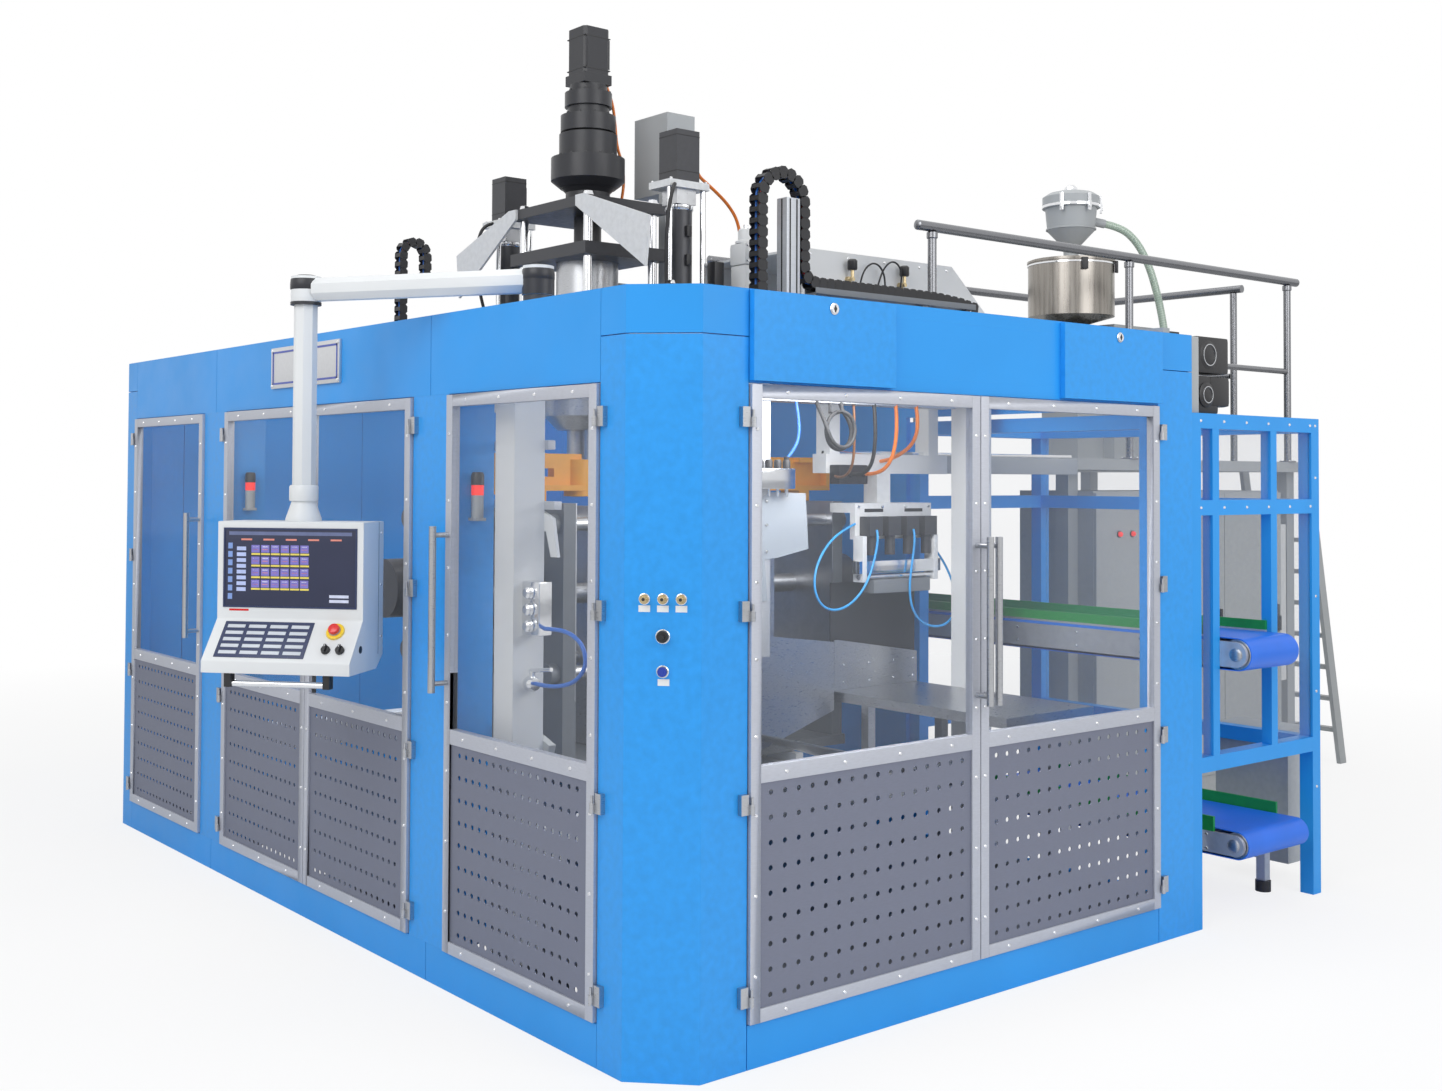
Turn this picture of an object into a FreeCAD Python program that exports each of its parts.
"""Two-station extrusion blow moulding machine in a guarded cabinet.

Millimetres, +Z up. The origin is on the floor at the middle of the cabinet's footprint. +X runs from
the operator side to the extruder side, and +Y from the front guard doors to the back of the cabinet.
"""
import math
import os

import FreeCAD
import Part

os.makedirs("parts", exist_ok=True)

V = FreeCAD.Vector
X_AXIS = V(1, 0, 0)
Z_AXIS = V(0, 0, 1)

# ---------------------------------------------------------------- driving dimensions: cabinet
CAB_X = 2600.0            # cabinet width, operator side to extruder side
CAB_Y = 4560.0            # cabinet length, front to back
CAB_H = 2300.0            # top edge of the fascia
CHAMFER = 160.0           # corner chamfer on the operator side, each leg
SHEET = 25.0              # depth of a folded guard sheet
SEAM = 3.0                # open joint between two sheets
SILL_H = 130.0            # height of the sill sheets
FASCIA_H = 280.0          # height of the fascia sheets
FASCIA_Z = CAB_H - FASCIA_H
CAP_H = 142.0             # height of the corner caps
CAP_Z = CAB_H - CAP_H
LEG_OPERATOR = 125.0      # corner post leg on the operator side
LEG_FRONT = 175.0         # corner post leg on the front
POST_RIGHT = 224.0        # width of the square corner post at the extruder side
POST_W = 250.0            # wide posts between the operator doors
POST_DEEP = 180.0         # their depth into the cabinet
POST_AT = 975.0           # distance of their middle from the machine's centre line
ROOF_BAR = 60.0           # square bar of the roof frame
CORNER_SHEET = 1025.0     # side sheet next to a corner
ROOF_BAR_Z = CAB_H - 100.0   # underside of the roof frame

# ---------------------------------------------------------------- driving dimensions: base
BASE_H = 120.0            # height of the base beams
BASE_W = 100.0            # width of the base beams
BASE_MID_W = 260.0        # width of the middle cross beam
PAN_T = 4.0               # drip pans on the cross beams
PAN_LAP = 20.0            # a pan's edge on its beam
PAN_SIDE = 10.0           # a pan to the columns
CORNER_CLEAR = 20.0       # beams stop this far short of a chamfer's fold
FOOT_PLATE = 200.0        # side of an anchor plate
FOOT_PLATE_T = 20.0       # its thickness
ANCHOR_R = 11.0           # anchor hole
ANCHOR_X = 1075.0         # anchor hole from the centre, along X
ANCHOR_Y = 1950.0         # anchor hole from the centre, along Y

# ---------------------------------------------------------------- driving dimensions: guard doors
DOOR_GAP = 4.0            # running gap round a door
DOOR_BAR = 40.0           # face width of the door frame
DOOR_T = 30.0             # depth of the door frame
DOOR_PROUD = 12.0         # door face in front of the cabinet face
DOOR_MID_Z = 835.0        # underside of the middle rail
DOOR_MID_H = 50.0         # its height
PANE_T = 5.0              # clear pane
PERF_T = 3.0              # lower sheet
HANDLE_R = 12.5           # handle tube
HANDLE_STUD_R = 9.0       # handle stud
HANDLE_LEN = 500.0        # between the handle's studs
HANDLE_STAND = 60.0       # handle axis in front of the door
HANDLE_END = 30.0         # tube beyond each stud
HANDLE_Z = 1290.0         # middle of the handle
HANDLE_FRONT_Z = 1265.0   # middle of the handle on the front doors
HINGE_Z = (219.0, 779.0, 1345.0, FASCIA_Z - 102.0)   # hinge heights
HINGE_H = 60.0            # hinge leaf height
HINGE_LEAF = 38.0         # hinge leaf width
HINGE_T = 5.0             # hinge leaf thickness
HINGE_PIN_R = 4.0         # hinge pin
HINGE_BARREL_R = 8.0      # hinge barrel
HINGE_FIT = 0.05          # pin to barrel, radial
HINGE_OUT = 9.0           # pin axis in front of the door face
HINGE_CLEAR = 1.0         # hinge leaf to the other half's barrel
HINGE_WEB = 2.0           # web's lap on its leaf
HINGE_ROOF = 4.0          # barrel closed over the pin's bore
HINGE_TOP_CLEAR = 4.0     # pin's end to the closed barrel

# ---------------------------------------------------------------- driving dimensions: hatches
HATCH_LEFT_X = -963.0     # left hatch, its left edge
HATCH_LEFT_W = 600.0
HATCH_RIGHT_X = 493.0     # right hatch, its left edge
HATCH_RIGHT_W = 586.0
HATCH_Z = FASCIA_Z + 6.0  # hinge line of a hatch
HATCH_H = 270.0
HATCH_T = 22.0
HATCH_REBATE = 40.0       # fascia left round the hatch opening
LOCK_R = 15.0             # quarter-turn lock
LOCK_PROUD = 7.0
LOCK_DROP = 36.0          # lock centre below the hatch's top edge
LOCK_ASIDE = 25.0         # lock to the right of the hatch's middle

# ---------------------------------------------------------------- driving dimensions: clamp stations
STATION = 670.0           # blow station to extrusion head, and the carriages' stroke
RAIL_X = 420.0            # linear rail from the centre line
RAIL_W = 40.0
RAIL_H = 40.0
BED_W = 120.0             # bed beam
BED_Z = 440.0             # underside of the bed beams
RAIL_TOP = 600.0
SLIDE_FIT = 0.3           # running clearance of slides
CARRIAGE_W = 580.0        # carriage, along Y
CARRIAGE_X = 720.0        # half length of the carriage base, along X
CARRIAGE_T = 40.0
RUNNER_LEN = 120.0
RUNNER_HALF = 35.0        # half width of a runner
RUNNER_IN = 20.0          # runner from the carriage's end
RAIL_END = 40.0           # rail beyond the carriages
PLATE_IN = 20.0           # end plates and platens inside the carriage's ends
END_PLATE_T = 60.0
END_PLATE_TOP = 1640.0
TIE_R = 25.0
TIE_Y = 215.0             # tie bar from the carriage's middle
TIE_Z = (1000.0, 1560.0)
PLATEN_T = 60.0
PLATEN_LIFT = 5.0         # platen over its carriage
PLATEN_DROP = 20.0        # platen's top under the end plates' tops
PLATEN_OUT = 270.0        # platen's mould face from the centre, open
MOULD_T = 120.0
MOULD_Y = 330.0           # mould block, along Y
MOULD_Z0 = 1060.0
MOULD_Z1 = 1470.0
NUT_R = 40.0              # nuts of the tie bars
NUT_LEN = 38.0
RAM_R = 120.0             # clamp cylinder behind an end plate
RAM_LEN = 250.0
RAM_CAP = 20.0            # its closed end
RAM_FLANGE_R = 165.0
RAM_FLANGE_T = 25.0
RAM_Z = 1280.0            # its axis
RAM_ROD_R = 40.0          # piston rod
RAM_ROD_IN = 200.0        # rod behind the end plate's face, clamp open
YOKE_X0 = 845.0           # cast yoke on an end plate, outer end from the centre line
YOKE_FLANGE_X = 660.0     # inner end of its top flange
YOKE_BOSS_X = 470.0       # its boss
YOKE_BOSS_R = 58.0
YOKE_BORE_R = 20.0
YOKE_HALF = 60.0          # half width of its flanges
YOKE_WEB = 22.0           # half thickness of its web
YOKE_FOOT = 45.0          # height of its foot
YOKE_H = 190.0            # its height over the end plate
YOKE_WALL = 22.0          # thickness of its flanges
YOKE_WINDOW = (600.0, 645.0, 100.0, 132.0)   # window in the web: x, x, z, z over the end plate

# ---------------------------------------------------------------- driving dimensions: press frame
COLUMN = 120.0            # square columns
COLUMN_X = 1140.0
COLUMN_Y = 1300.0
PORTAL_Z = CAB_H - 220.0  # underside of the portal beams
PORTAL_H = 120.0
TOP_BEAM_X = 330.0        # the beams that carry head and blow units
TOP_BEAM_W = 100.0
TOP_BEAM_H = 110.0
TOP_CROSS = 30.0          # half width of the cross beams under the blow units
HEAD_X = 30.0             # head axis from the centre
HEAD_LOW = 1650.0         # underside of the dies
HEAD_TOP = CAB_H + 100.0  # top of the head's body
HEAD_BODY_H = 450.0
HEAD_SHOULDER_R = 130.0

# ---------------------------------------------------------------- driving dimensions: column stand
STAND_HALF_X = 220.0
STAND_HALF_Y = 300.0
LOW_PLATE_Z = CAB_H + 400.0
LOW_PLATE_T = 55.0
UP_PLATE_Z = LOW_PLATE_Z + 210.0
UP_PLATE_T = 45.0
STAND_COL_R = 20.0
STAND_COL_IN = 45.0       # column from the plate's edge
STAND_BAR_SIDE = 10.0     # foot bar beyond its columns
NECK_CLEAR = 2.0          # head's neck in the lower plate
STAND_BAR_H = 40.0        # foot bars across the top beams
HEAD_NECK_R = 140.0       # neck of the head through the lower plate
HEAD_R = 190.0
DIE_Y = 70.0              # each die from the head's axis
DIE_R = 48.0
DIE_LIP_R = 30.0
DIE_TAPER = 60.0
SPINDLE_R = 62.0          # spindle between the plates
DRIVE_STACK = (           # turned parts of the drive: radius, height over the stand
    ((100, 0), (100, 65), (120, 85)),
    ((125, 85), (167, 119), (167, 222), (131, 227), (131, 330)),
    ((105, 330), (105, 340), (125, 340), (125, 415), (95, 415), (95, 455)),
    ((107, 455), (107, 520), (85, 520), (85, 555)),
)
DRIVE_FLANGE_Z = UP_PLATE_Z + 600.0
DRIVE_FLANGE_T = 45.0
DRIVE_FLANGE = 150.0
DRIVE_SERVO = 140.0
DRIVE_TOP = DRIVE_FLANGE_Z + 254.0
DRIVE_CHAMFER = 14.0

# ---------------------------------------------------------------- driving dimensions: blow units
BLOW_PLATE_Z = CAB_H + 200.0
BLOW_PLATE_T = 30.0
BLOW_PLATE_X = 150.0      # half length of a blow unit's plate
BLOW_PLATE_Y = 120.0      # its half width
BLOW_TUBE_CAP = 40.0      # closed end of the cylinder
BLOW_HOUSING = 50.0       # half side of the coupling housing
BLOW_RING_X = 105.0       # half length of the servo's flange
BLOW_RING_Y = 72.0
BLOW_RING_T = 30.0
BLOW_POST_X = 110.0       # posts of a blow unit from its axis, along X
BLOW_POST_R = 14.0
BLOW_BAR_X = 88.0         # bars beside the cylinder
BLOW_BAR_Y = 50.0
BLOW_BAR_R = 12.0
BLOW_SERVO = 120.0
BLOW_SERVO_Z = BLOW_PLATE_Z + 470.0
BLOW_SERVO_TOP = BLOW_SERVO_Z + 215.0
BLOW_TUBE_R = 55.0
PIN_R = 16.0
PIN_LOW = 1640.0
PIN_TOP = BLOW_PLATE_Z + 200.0
BLOW_TUBE_TOP = BLOW_PLATE_Z + 376.0
BLOW_POST_Y = 90.0        # posts of a blow unit from its axis, along Y
GUSSET_T = 12.0
GUSSET_IN = 60.0          # lap on the stand's plate
GUSSET_OUT = (75.0, 95.0, 100.0, 300.0)   # far edge: out and up from the blow unit, low and high
PIN_TIP_R = 10.0
PIN_TIP_H = 14.0

# ---------------------------------------------------------------- driving dimensions: extruder
EXTRUDER_Z = CAB_H + 260.0   # screw axis
BARREL_R = 70.0
BARREL_CLEAR = 3.0        # barrel to the head's neck
BARREL_JOINT = 60.0       # adapter between head and barrel
HOPPER_X = 3510.0
HOPPER_R = 250.0
HOPPER_Z = EXTRUDER_Z + 140.0
HOPPER_TOP = HOPPER_Z + 330.0
COVER_X0 = 1000.0
COVER_X1 = 2040.0
COVER_X2 = 2320.0
COVER_HALF = 380.0
COVER_T = 12.0
COVER_FOOT_W = 40.0
TRAY_SHORT = 80.0         # tray stops short of the cover's slope
COVER_TOP = EXTRUDER_Z + 270.0
COVER_SLOPE_Z = EXTRUDER_Z + 30.0
COVER_LOW = EXTRUDER_Z - 160.0
TRAY_W = 90.0             # tray along the cover's front side
TRAY_T = 8.0
FEED_X0 = 3400.0          # feed throat
FEED_X1 = 3640.0
FEED_HALF = 130.0
HOPPER_NECK_R = 75.0      # neck of the hopper on the feed throat
HOPPER_NECK_H = 60.0
HOPPER_NECK_RIM = 10.0
HOPPER_RIM = 6.0          # rim round the hopper's top
HOPPER_RIM_H = 12.0
LID_IN = 10.0             # lid inside the hopper's edge
LID_T = 6.0
LID_H = 14.0              # lid's middle over the rim
GEAR_X1 = 4150.0          # gearbox, far end
GEAR_HALF = 210.0
GEAR_TOP = HOPPER_Z - 45.0   # gearbox top, under the hopper's cone
MOTOR_R = 150.0
MOTOR_LEN = 330.0
MOTOR_FOOT_HALF = 100.0   # half width of the motor's pedestal
MOTOR_FOOT_IN = 30.0      # pedestal inside the motor's ends
MOTOR_SINK = 20.0         # pedestal's lap on the motor
MOTOR_Z = EXTRUDER_Z - 260.0   # motor axis
PORT_ROOT = V(100, -60, HOPPER_TOP + 248)   # loader's port, from the hopper's axis
PORT_END = V(178, -107, HOPPER_TOP + 232)
PORT_R = 26.0
LOADER_PROFILE = (        # radius, height over the hopper's lid
    (60, 0), (60, 14), (44, 18), (44, 70), (138, 170), (150, 300),
    (166, 302), (166, 368), (130, 392), (45, 412),
)
HOSE_STUB = 6.0           # stub's wall round the hose
HOSE_R = 22.0
HOSE_FOOT = 50.0          # lower end of the hose over the deck
HOSE_ROUTE = (            # cord route, points chosen by hand: from the hopper's axis, and share of the drop
    (178.25, -107.15, 0.99996),
    (266.0, -160.0, 0.98678),
    (340.0, -215.0, 0.92878),
    (385.0, -262.0, 0.83700),
    (415.0, -300.0, 0.71953),
    (435.0, -332.0, 0.58003),
    (447.0, -358.0, 0.42584),
    (448.0, -382.0, 0.27900),
    (443.0, -402.0, 0.15419),
    (440.0, -412.0, 0.05140),
    (440.0, -412.0, 0.00000),
)
JUNCTION_X0 = 343.0       # grey box beside the drive
JUNCTION_X1 = 503.0
JUNCTION_Y0 = -180.0
JUNCTION_Y1 = 70.0
JUNCTION_Z0 = CAB_H + 740.0
JUNCTION_Z1 = CAB_H + 1110.0
JUNCTION_POST = 50.0
CHAIN_PITCH = 46.0
CHAIN_W = 60.0
CHAIN_DEEP = 44.0
BRACKET_T = 15.0          # chain brackets
BRACKET_HALF = 50.0
LOOP_X = 400.0            # front chain loop
LOOP_Y = -890.0
LOOP_TOP = CAB_H + 750.0
LOOP_R = 120.0
LOOP_FREE = CAB_H + 560.0
LOOP_BASE = (-170.0, 190.0)   # bracket about the loop's middle
LOOP_POST_T = 20.0
LOOP_POST_H = 60.0        # guide post over the chain's free end
LOOP2_X = -40.0           # rear chain loop
LOOP2_Y = 1500.0
LOOP2_TOP = CAB_H + 690.0
LOOP2_R = 70.0
LOOP2_BASE = 130.0        # half length of its bracket
LOOP2_DROP = 240.0        # its free end under its top

# ---------------------------------------------------------------- driving dimensions: service platform
DECK_Z = 1850.0
DECK_T = 60.0
DECK_X0 = CAB_X / 2        # deck's edge against the cabinet
DECK_X1 = 4740.0
DECK_Y0 = -785.0
DECK_Y1 = 810.0
RAIL_TUBE_R = 21.0
RAIL_HAND_R = 24.0        # handrail
RAIL_MID_R = 16.8         # middle rail
RAIL_OVER = 100.0         # handrail beyond its end posts
RAIL_SIDE_IN = 20.0       # side rail inside the others
RAIL_SIDE_OVER = 60.0
RAIL_TOP_Z = 2930.0
RAIL_MID_Z = 2390.0
RAIL_POSTS_X = (1480.0, 3020.0, 4580.0)
LADDER_X = 5200.0         # ladder foot
LADDER_Y0 = -780.0
LADDER_W = 450.0
TREAD_STEP = 195.0
TREAD_T = 25.0            # treads and stiles
TREAD_IN = 5.0            # tread inside the stile's edge
STILE_DEEP = 70.0
DECK_LEG = 80.0
RAIL_IN = 25.0            # railing axis inside the deck's edge
RAIL_SIDE_Y = -330.0      # end post of the side rail, beside the ladder
CONTROL_X0 = 2650.0       # control cabinet
CONTROL_X1 = 4400.0
CONTROL_Y0 = -802.0
CONTROL_DEEP = 480.0
CONTROL_H = 1680.0
CONTROL_PLINTH = 100.0
CONTROL_DOOR_T = 18.0
CONTROL_DOOR_GAP = 2.0
CONTROL_DOOR_IN = 10.0    # doors from the plinth and the top
COOLER = (150.0, 40.0, 380.0, 560.0, 1480.0)   # depth, along the side from and to, height from and to
SOCKET_R = 38.0
SOCKET_LEN = 90.0
SOCKET_IN = 60.0          # sockets from the cabinet's back
SOCKET_Z = (1250.0, 1400.0)
TERMINAL_DEEP = 210.0     # terminal box on the annex
TERMINAL_Y = (150.0, 500.0)   # from the front
TERMINAL_Z = (90.0, 660.0)

# ---------------------------------------------------------------- driving dimensions: annex and conveyors
ANNEX_X1 = 2230.0
ANNEX_Y1 = -790.0
ANNEX_H = 2000.0
ANNEX_BAR = 60.0
ANNEX_RAILS = (600.0, 1600.0)
ANNEX_PANE_IN = 10.0      # front panes behind the frame's face
ANNEX_SIDE_IN = 20.0      # side panes behind it
ANNEX_LEAST = 5.0         # narrower gaps get no pane
CONV_X0 = 1500.0          # take-off conveyor
CONV_W = 340.0
CONV_Y0 = -2410.0
CONV_Y1 = 420.0
CONV_TOP = 1120.0
CONV_ROLL_R = 60.0
BELT_T = 4.0
SCRAP_X0 = 1590.0         # scrap conveyor
SCRAP_W = 440.0
SCRAP_Y0 = -2340.0
SCRAP_Y1 = -900.0
SCRAP_TOP = 345.0
SCRAP_ROLL_R = 52.0
CONV_SIDE_T = 16.0
CONV_HIGH = 50.0          # half height of the take-off conveyor's side plates
SCRAP_HIGH = 42.0         # and of the scrap conveyor's
ROLLER_END = 4.0          # roller's drum to the side plates
GUIDE_T = 12.0
GUIDE_IN = 150.0          # guides behind the conveyor's front end
LEG_DROP = 8.0            # legs end under the guides
ROLL_FIT = 0.3
JOURNAL_R = 12.0
GUIDE_H = 45.0
LEG_W = 40.0
FOOT_H = 45.0
FOOT_R = 32.0
CONV_LEGS_Y = (-700.0, 200.0)   # its front end hangs between the annex mullions
SCRAP_LEGS_Y = (-2130.0, -1100.0)
TABLE_X0 = 560.0
TABLE_X1 = COLUMN_X - COLUMN / 2   # against the column
TABLE_Y0 = -1980.0
TABLE_Y1 = -1010.0
TABLE_Z = 850.0
TABLE_T = 40.0
TABLE_LEG_IN = 160.0      # front legs behind the table's edge, clear of the anchor plate
CHUTE_LEN = 700.0
CHUTE_T = 6.0
CHUTE_LOW = 285.0         # chute's ends under the table's top
CHUTE_HIGH = 70.0
CHUTE_GAP = 20.0          # chute to the table
CHUTE_Y = (60.0, 80.0)    # chute inside the table's front and back edges
TABLE_LEG_X = 20.0        # legs inside the table's sides
TAKE_X = 820.0            # take-out gripper
TAKE_Y = -1150.0
TAKE_Z = 1560.0
TAKE_BEAM_Z = 1760.0
TAKE_BEAM_H = 80.0
TAKE_BEAM_Y = (60.0, 140.0)    # slide beam behind the gripper plate
TAKE_BEAM_X = (-340.0, 400.0)  # slide beam about the gripper
TAKE_HANG = 60.0               # side of the hangers
TAKE_HANG_X = (-320.0, 280.0)
TAKE_PLATE_X = 230.0           # half length of the gripper plate
TAKE_PLATE_Z = 75.0            # its half height
TAKE_PLATE_T = 30.0
TAKE_SHELF_Y = 150.0           # shelf's back edge
TAKE_SHELF_T = 40.0
TAKE_POST_HALF = 40.0
GRIPPERS = 4
GRIPPER_STEP = 110.0
GRIPPER_HALF = 38.0
GRIPPER_DEEP = 60.0
GRIPPER_Z = (-60.0, 20.0)      # gripper body about the plate's middle
CUP_R = 22.0
CUP_LEN = 80.0
BLOWER_Y = -CAB_Y / 2 + 130.0
BLOWER_BACK = (45.0, 260.0, 340.0)     # back plate: thickness, along Y, height
BLOWER_BODY = (80.0, 240.0, 152.0)     # blower: depth, along Y, height
BLOWER_IN = 10.0
BLOWER_STEP = 168.0
FAN_R = 62.0
FAN_LEN = 60.0

# ---------------------------------------------------------------- driving dimensions: operator panel
PIVOT_IN = 150.0          # pivot from the operator face
PIVOT_Y = -1420.0
ARM_PIVOT = V(PIVOT_IN - CAB_X / 2, PIVOT_Y, 0)
ARM_Z = CAB_H + 90.0      # arm axis
ARM_FLATS = 80.0          # octagonal tube across flats
ARM_REACH = 896.0         # pivot to drop tube
ARM_CAP_R = 52.0          # hub and elbow
ARM_SOCKET = 45.0         # arm ends this far short of the drop tube's axis
HUB_RISE = 8.0            # hub over the arm
ELBOW_RISE = 7.0          # elbow over and under the arm
BEARING_SIDE = 80.0       # bearing plate round the pivot
BEARING_T = 30.0
BEARING_R = 50.0
BEARING_GAP = 10.0        # bearing's top under the arm
DROP_SLIM = 0.95          # drop tube's size to the arm's
ARM_ANGLE = 122.0         # arm direction from +X, at rest
DROP_LOW = 1655.0         # lower end of the drop tube
NECK_R = 34.0             # neck on the housing, under the drop tube
PANEL_ANGLE = 220.7       # direction the screen faces
PANEL_W = 535.0
PANEL_TOP = 1580.0
PANEL_KNEE = 1245.0       # where the console slopes out from the face
PANEL_LOW = 1070.0
PANEL_BACK = 75.0         # housing behind the drop tube
PANEL_CUT = (45.0, 60.0)  # housing's cut lower back edge: up and forward
NECK_RIM = 8.0
NECK_FLANGE_R = 62.0
PANEL_FACE = 105.0        # screen face in front of the drop tube
CONSOLE_OUT = 215.0       # console's front edge in front of the drop tube
CONSOLE_Z = 1112.0        # console's front edge height
SCREEN_W = 478.0
SCREEN_H = 262.0
SCREEN_LOW = 1290.0       # lower edge of the screen
SCREEN_T = 4.0
GRIP_R = 11.0             # hand bar under the console
GRIP_HALF = 165.0
GRIP_DROP = 36.0          # its axis below the housing
GRIP_Y = 30.0             # its axis behind the console's edge
GRIP_END = (13.0, 17.0)   # half length and half depth of its end blocks
ESTOP_AT = (182.0, 47.0)  # across the console and down its slope
ESTOP_STEM_R = 10.0
ESTOP_R = 20.0
ESTOP_OUT = (14.0, 28.0)  # cap's underside and top over the console
ESTOP_IN = 18.0           # stem's end under it
ESTOP_BORE = 28.0
ESTOP_COLLAR_R = 31.0
ESTOP_COLLAR_T = 6.0
LAP = 1.0                 # lap of two parts that are made as one
KNOB_R = 15.0
KNOB_H = 12.0
KNOB_GRIP = (8.0, 28.0, 11.0)   # grip across, along and high
SELECTOR_LEFT = 169.0
SELECTOR_RIGHT = 220.0
SELECTOR_DOWN = 122.0

# ---------------------------------------------------------------- driving dimensions: chamfer fittings
CHAMFER_WAY = V(1, -1, 0).normalize()
CHAMFER_OUT = V(-1, -1, 0).normalize()
COUPLING_Z = 1386.0
COUPLING_STEP = 54.0
SWITCH_Z = 1278.0
BUTTON_Z = 1177.0
FITTING_STEM_R = 6.0
FITTING_STEM_IN = 12.0    # stem's end behind the face
BORE_OVER = 5.0           # bore beyond both faces of the sheet
COUPLING_R = (14.0, 8.0)  # body and nose
COUPLING_OUT = (10.0, 26.0)
SWITCH_R = (17.0, 7.0)    # head and key
SWITCH_OUT = (16.0, 30.0)
BUTTON_R = 14.0
BUTTON_OUT = (5.0, 13.0)


# ---------------------------------------------------------------- derived places
FACE_OPERATOR = -CAB_X / 2
FACE_RIGHT = CAB_X / 2
FACE_FRONT = -CAB_Y / 2
FACE_BACK = CAB_Y / 2
POST_NEAR = (-POST_AT - POST_W / 2, -POST_AT + POST_W / 2)
POST_FAR = (POST_AT - POST_W / 2, POST_AT + POST_W / 2)
CORNER_Y = CAB_Y / 2 - CHAMFER - LEG_OPERATOR
CORNER_X0 = FACE_OPERATOR + CHAMFER + LEG_FRONT
CORNER_X1 = FACE_RIGHT - POST_RIGHT
DOOR_Z0 = SILL_H + DOOR_GAP
DOOR_Z1 = FASCIA_Z - DOOR_GAP
FRONT_SPLIT = (CORNER_X0 + CORNER_X1) / 2
CARRIAGE_Z = RAIL_TOP + 5.0
BEAM_END_X = FACE_OPERATOR + CHAMFER + CORNER_CLEAR
BEAM_END_Y = CAB_Y / 2 - CHAMFER - CORNER_CLEAR
ARM_TURN = math.radians(ARM_ANGLE)
ELBOW = ARM_PIVOT.add(V(ARM_REACH * math.cos(ARM_TURN), ARM_REACH * math.sin(ARM_TURN), 0))
MULLION_W = 0.75 * ANNEX_BAR
ANNEX_MULLIONS = (CONV_X0 - CONV_SIDE_T - MULLION_W, CONV_X0 + CONV_W + CONV_SIDE_T)


# ---------------------------------------------------------------- small makers
def block(x0, x1, y0, y1, z0, z1):
    return Part.makeBox(x1 - x0, y1 - y0, z1 - z0, V(x0, y0, z0))


def column(x, y, half_x, half_y, z0, z1):
    """Block about an upright axis."""
    return block(x - half_x, x + half_x, y - half_y, y + half_y, z0, z1)


def rod(start, end, radius):
    span = end.sub(start)
    return Part.makeCylinder(radius, span.Length, start, span)


def disc(x, y, z0, z1, radius):
    return Part.makeCylinder(radius, z1 - z0, V(x, y, z0))


def prism(points, z0, z1):
    """Straight prism over a plan outline of (x, y) points."""
    ring = [V(x, y, z0) for x, y in points]
    face = Part.Face(Part.makePolygon(ring + ring[:1]))
    return face.extrude(V(0, 0, z1 - z0))


def side_prism(points, y0, y1):
    """Prism along Y over an outline of (x, z) points."""
    ring = [V(x, y0, z) for x, z in points]
    face = Part.Face(Part.makePolygon(ring + ring[:1]))
    return face.extrude(V(0, y1 - y0, 0))


def along(point, normal, distance):
    """Point a distance out along a face's normal."""
    return point.add(V(normal).multiply(distance))


def turned(profile, x, y):
    """Solid turned about a vertical axis; profile holds (radius, z) points."""
    ring = [V(x + r, y, z) for r, z in profile]
    face = Part.Face(Part.makePolygon(ring + ring[:1]))
    return face.revolve(V(x, y, 0), Z_AXIS, 360)


def folded(points, depth, z0, z1):
    """Sheet folded along a plan polyline, its depth on the left of the line."""
    inner = []
    for i, (px, py) in enumerate(points):
        before = points[max(i - 1, 0)]
        after = points[min(i + 1, len(points) - 1)]
        d1 = V(px - before[0], py - before[1], 0)
        d2 = V(after[0] - px, after[1] - py, 0)
        d1 = d2 if d1.Length < 1e-6 else d1
        d2 = d1 if d2.Length < 1e-6 else d2
        n1 = V(-d1.y, d1.x, 0).normalize()
        n2 = V(-d2.y, d2.x, 0).normalize()
        mid = n1.add(n2).normalize()
        reach = depth / mid.dot(n1)
        inner.append((px + mid.x * reach, py + mid.y * reach))
    return prism(list(points) + inner[::-1], z0, z1)


def export(name, solids):
    """One STEP file for a node, its pieces kept as separate solids."""
    pieces = []
    for solid in solids:
        pieces.extend(solid.Solids)
    shape = pieces[0] if len(pieces) == 1 else Part.Compound(pieces)
    shape.exportStep(os.path.join("parts", name + ".step"))


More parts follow.
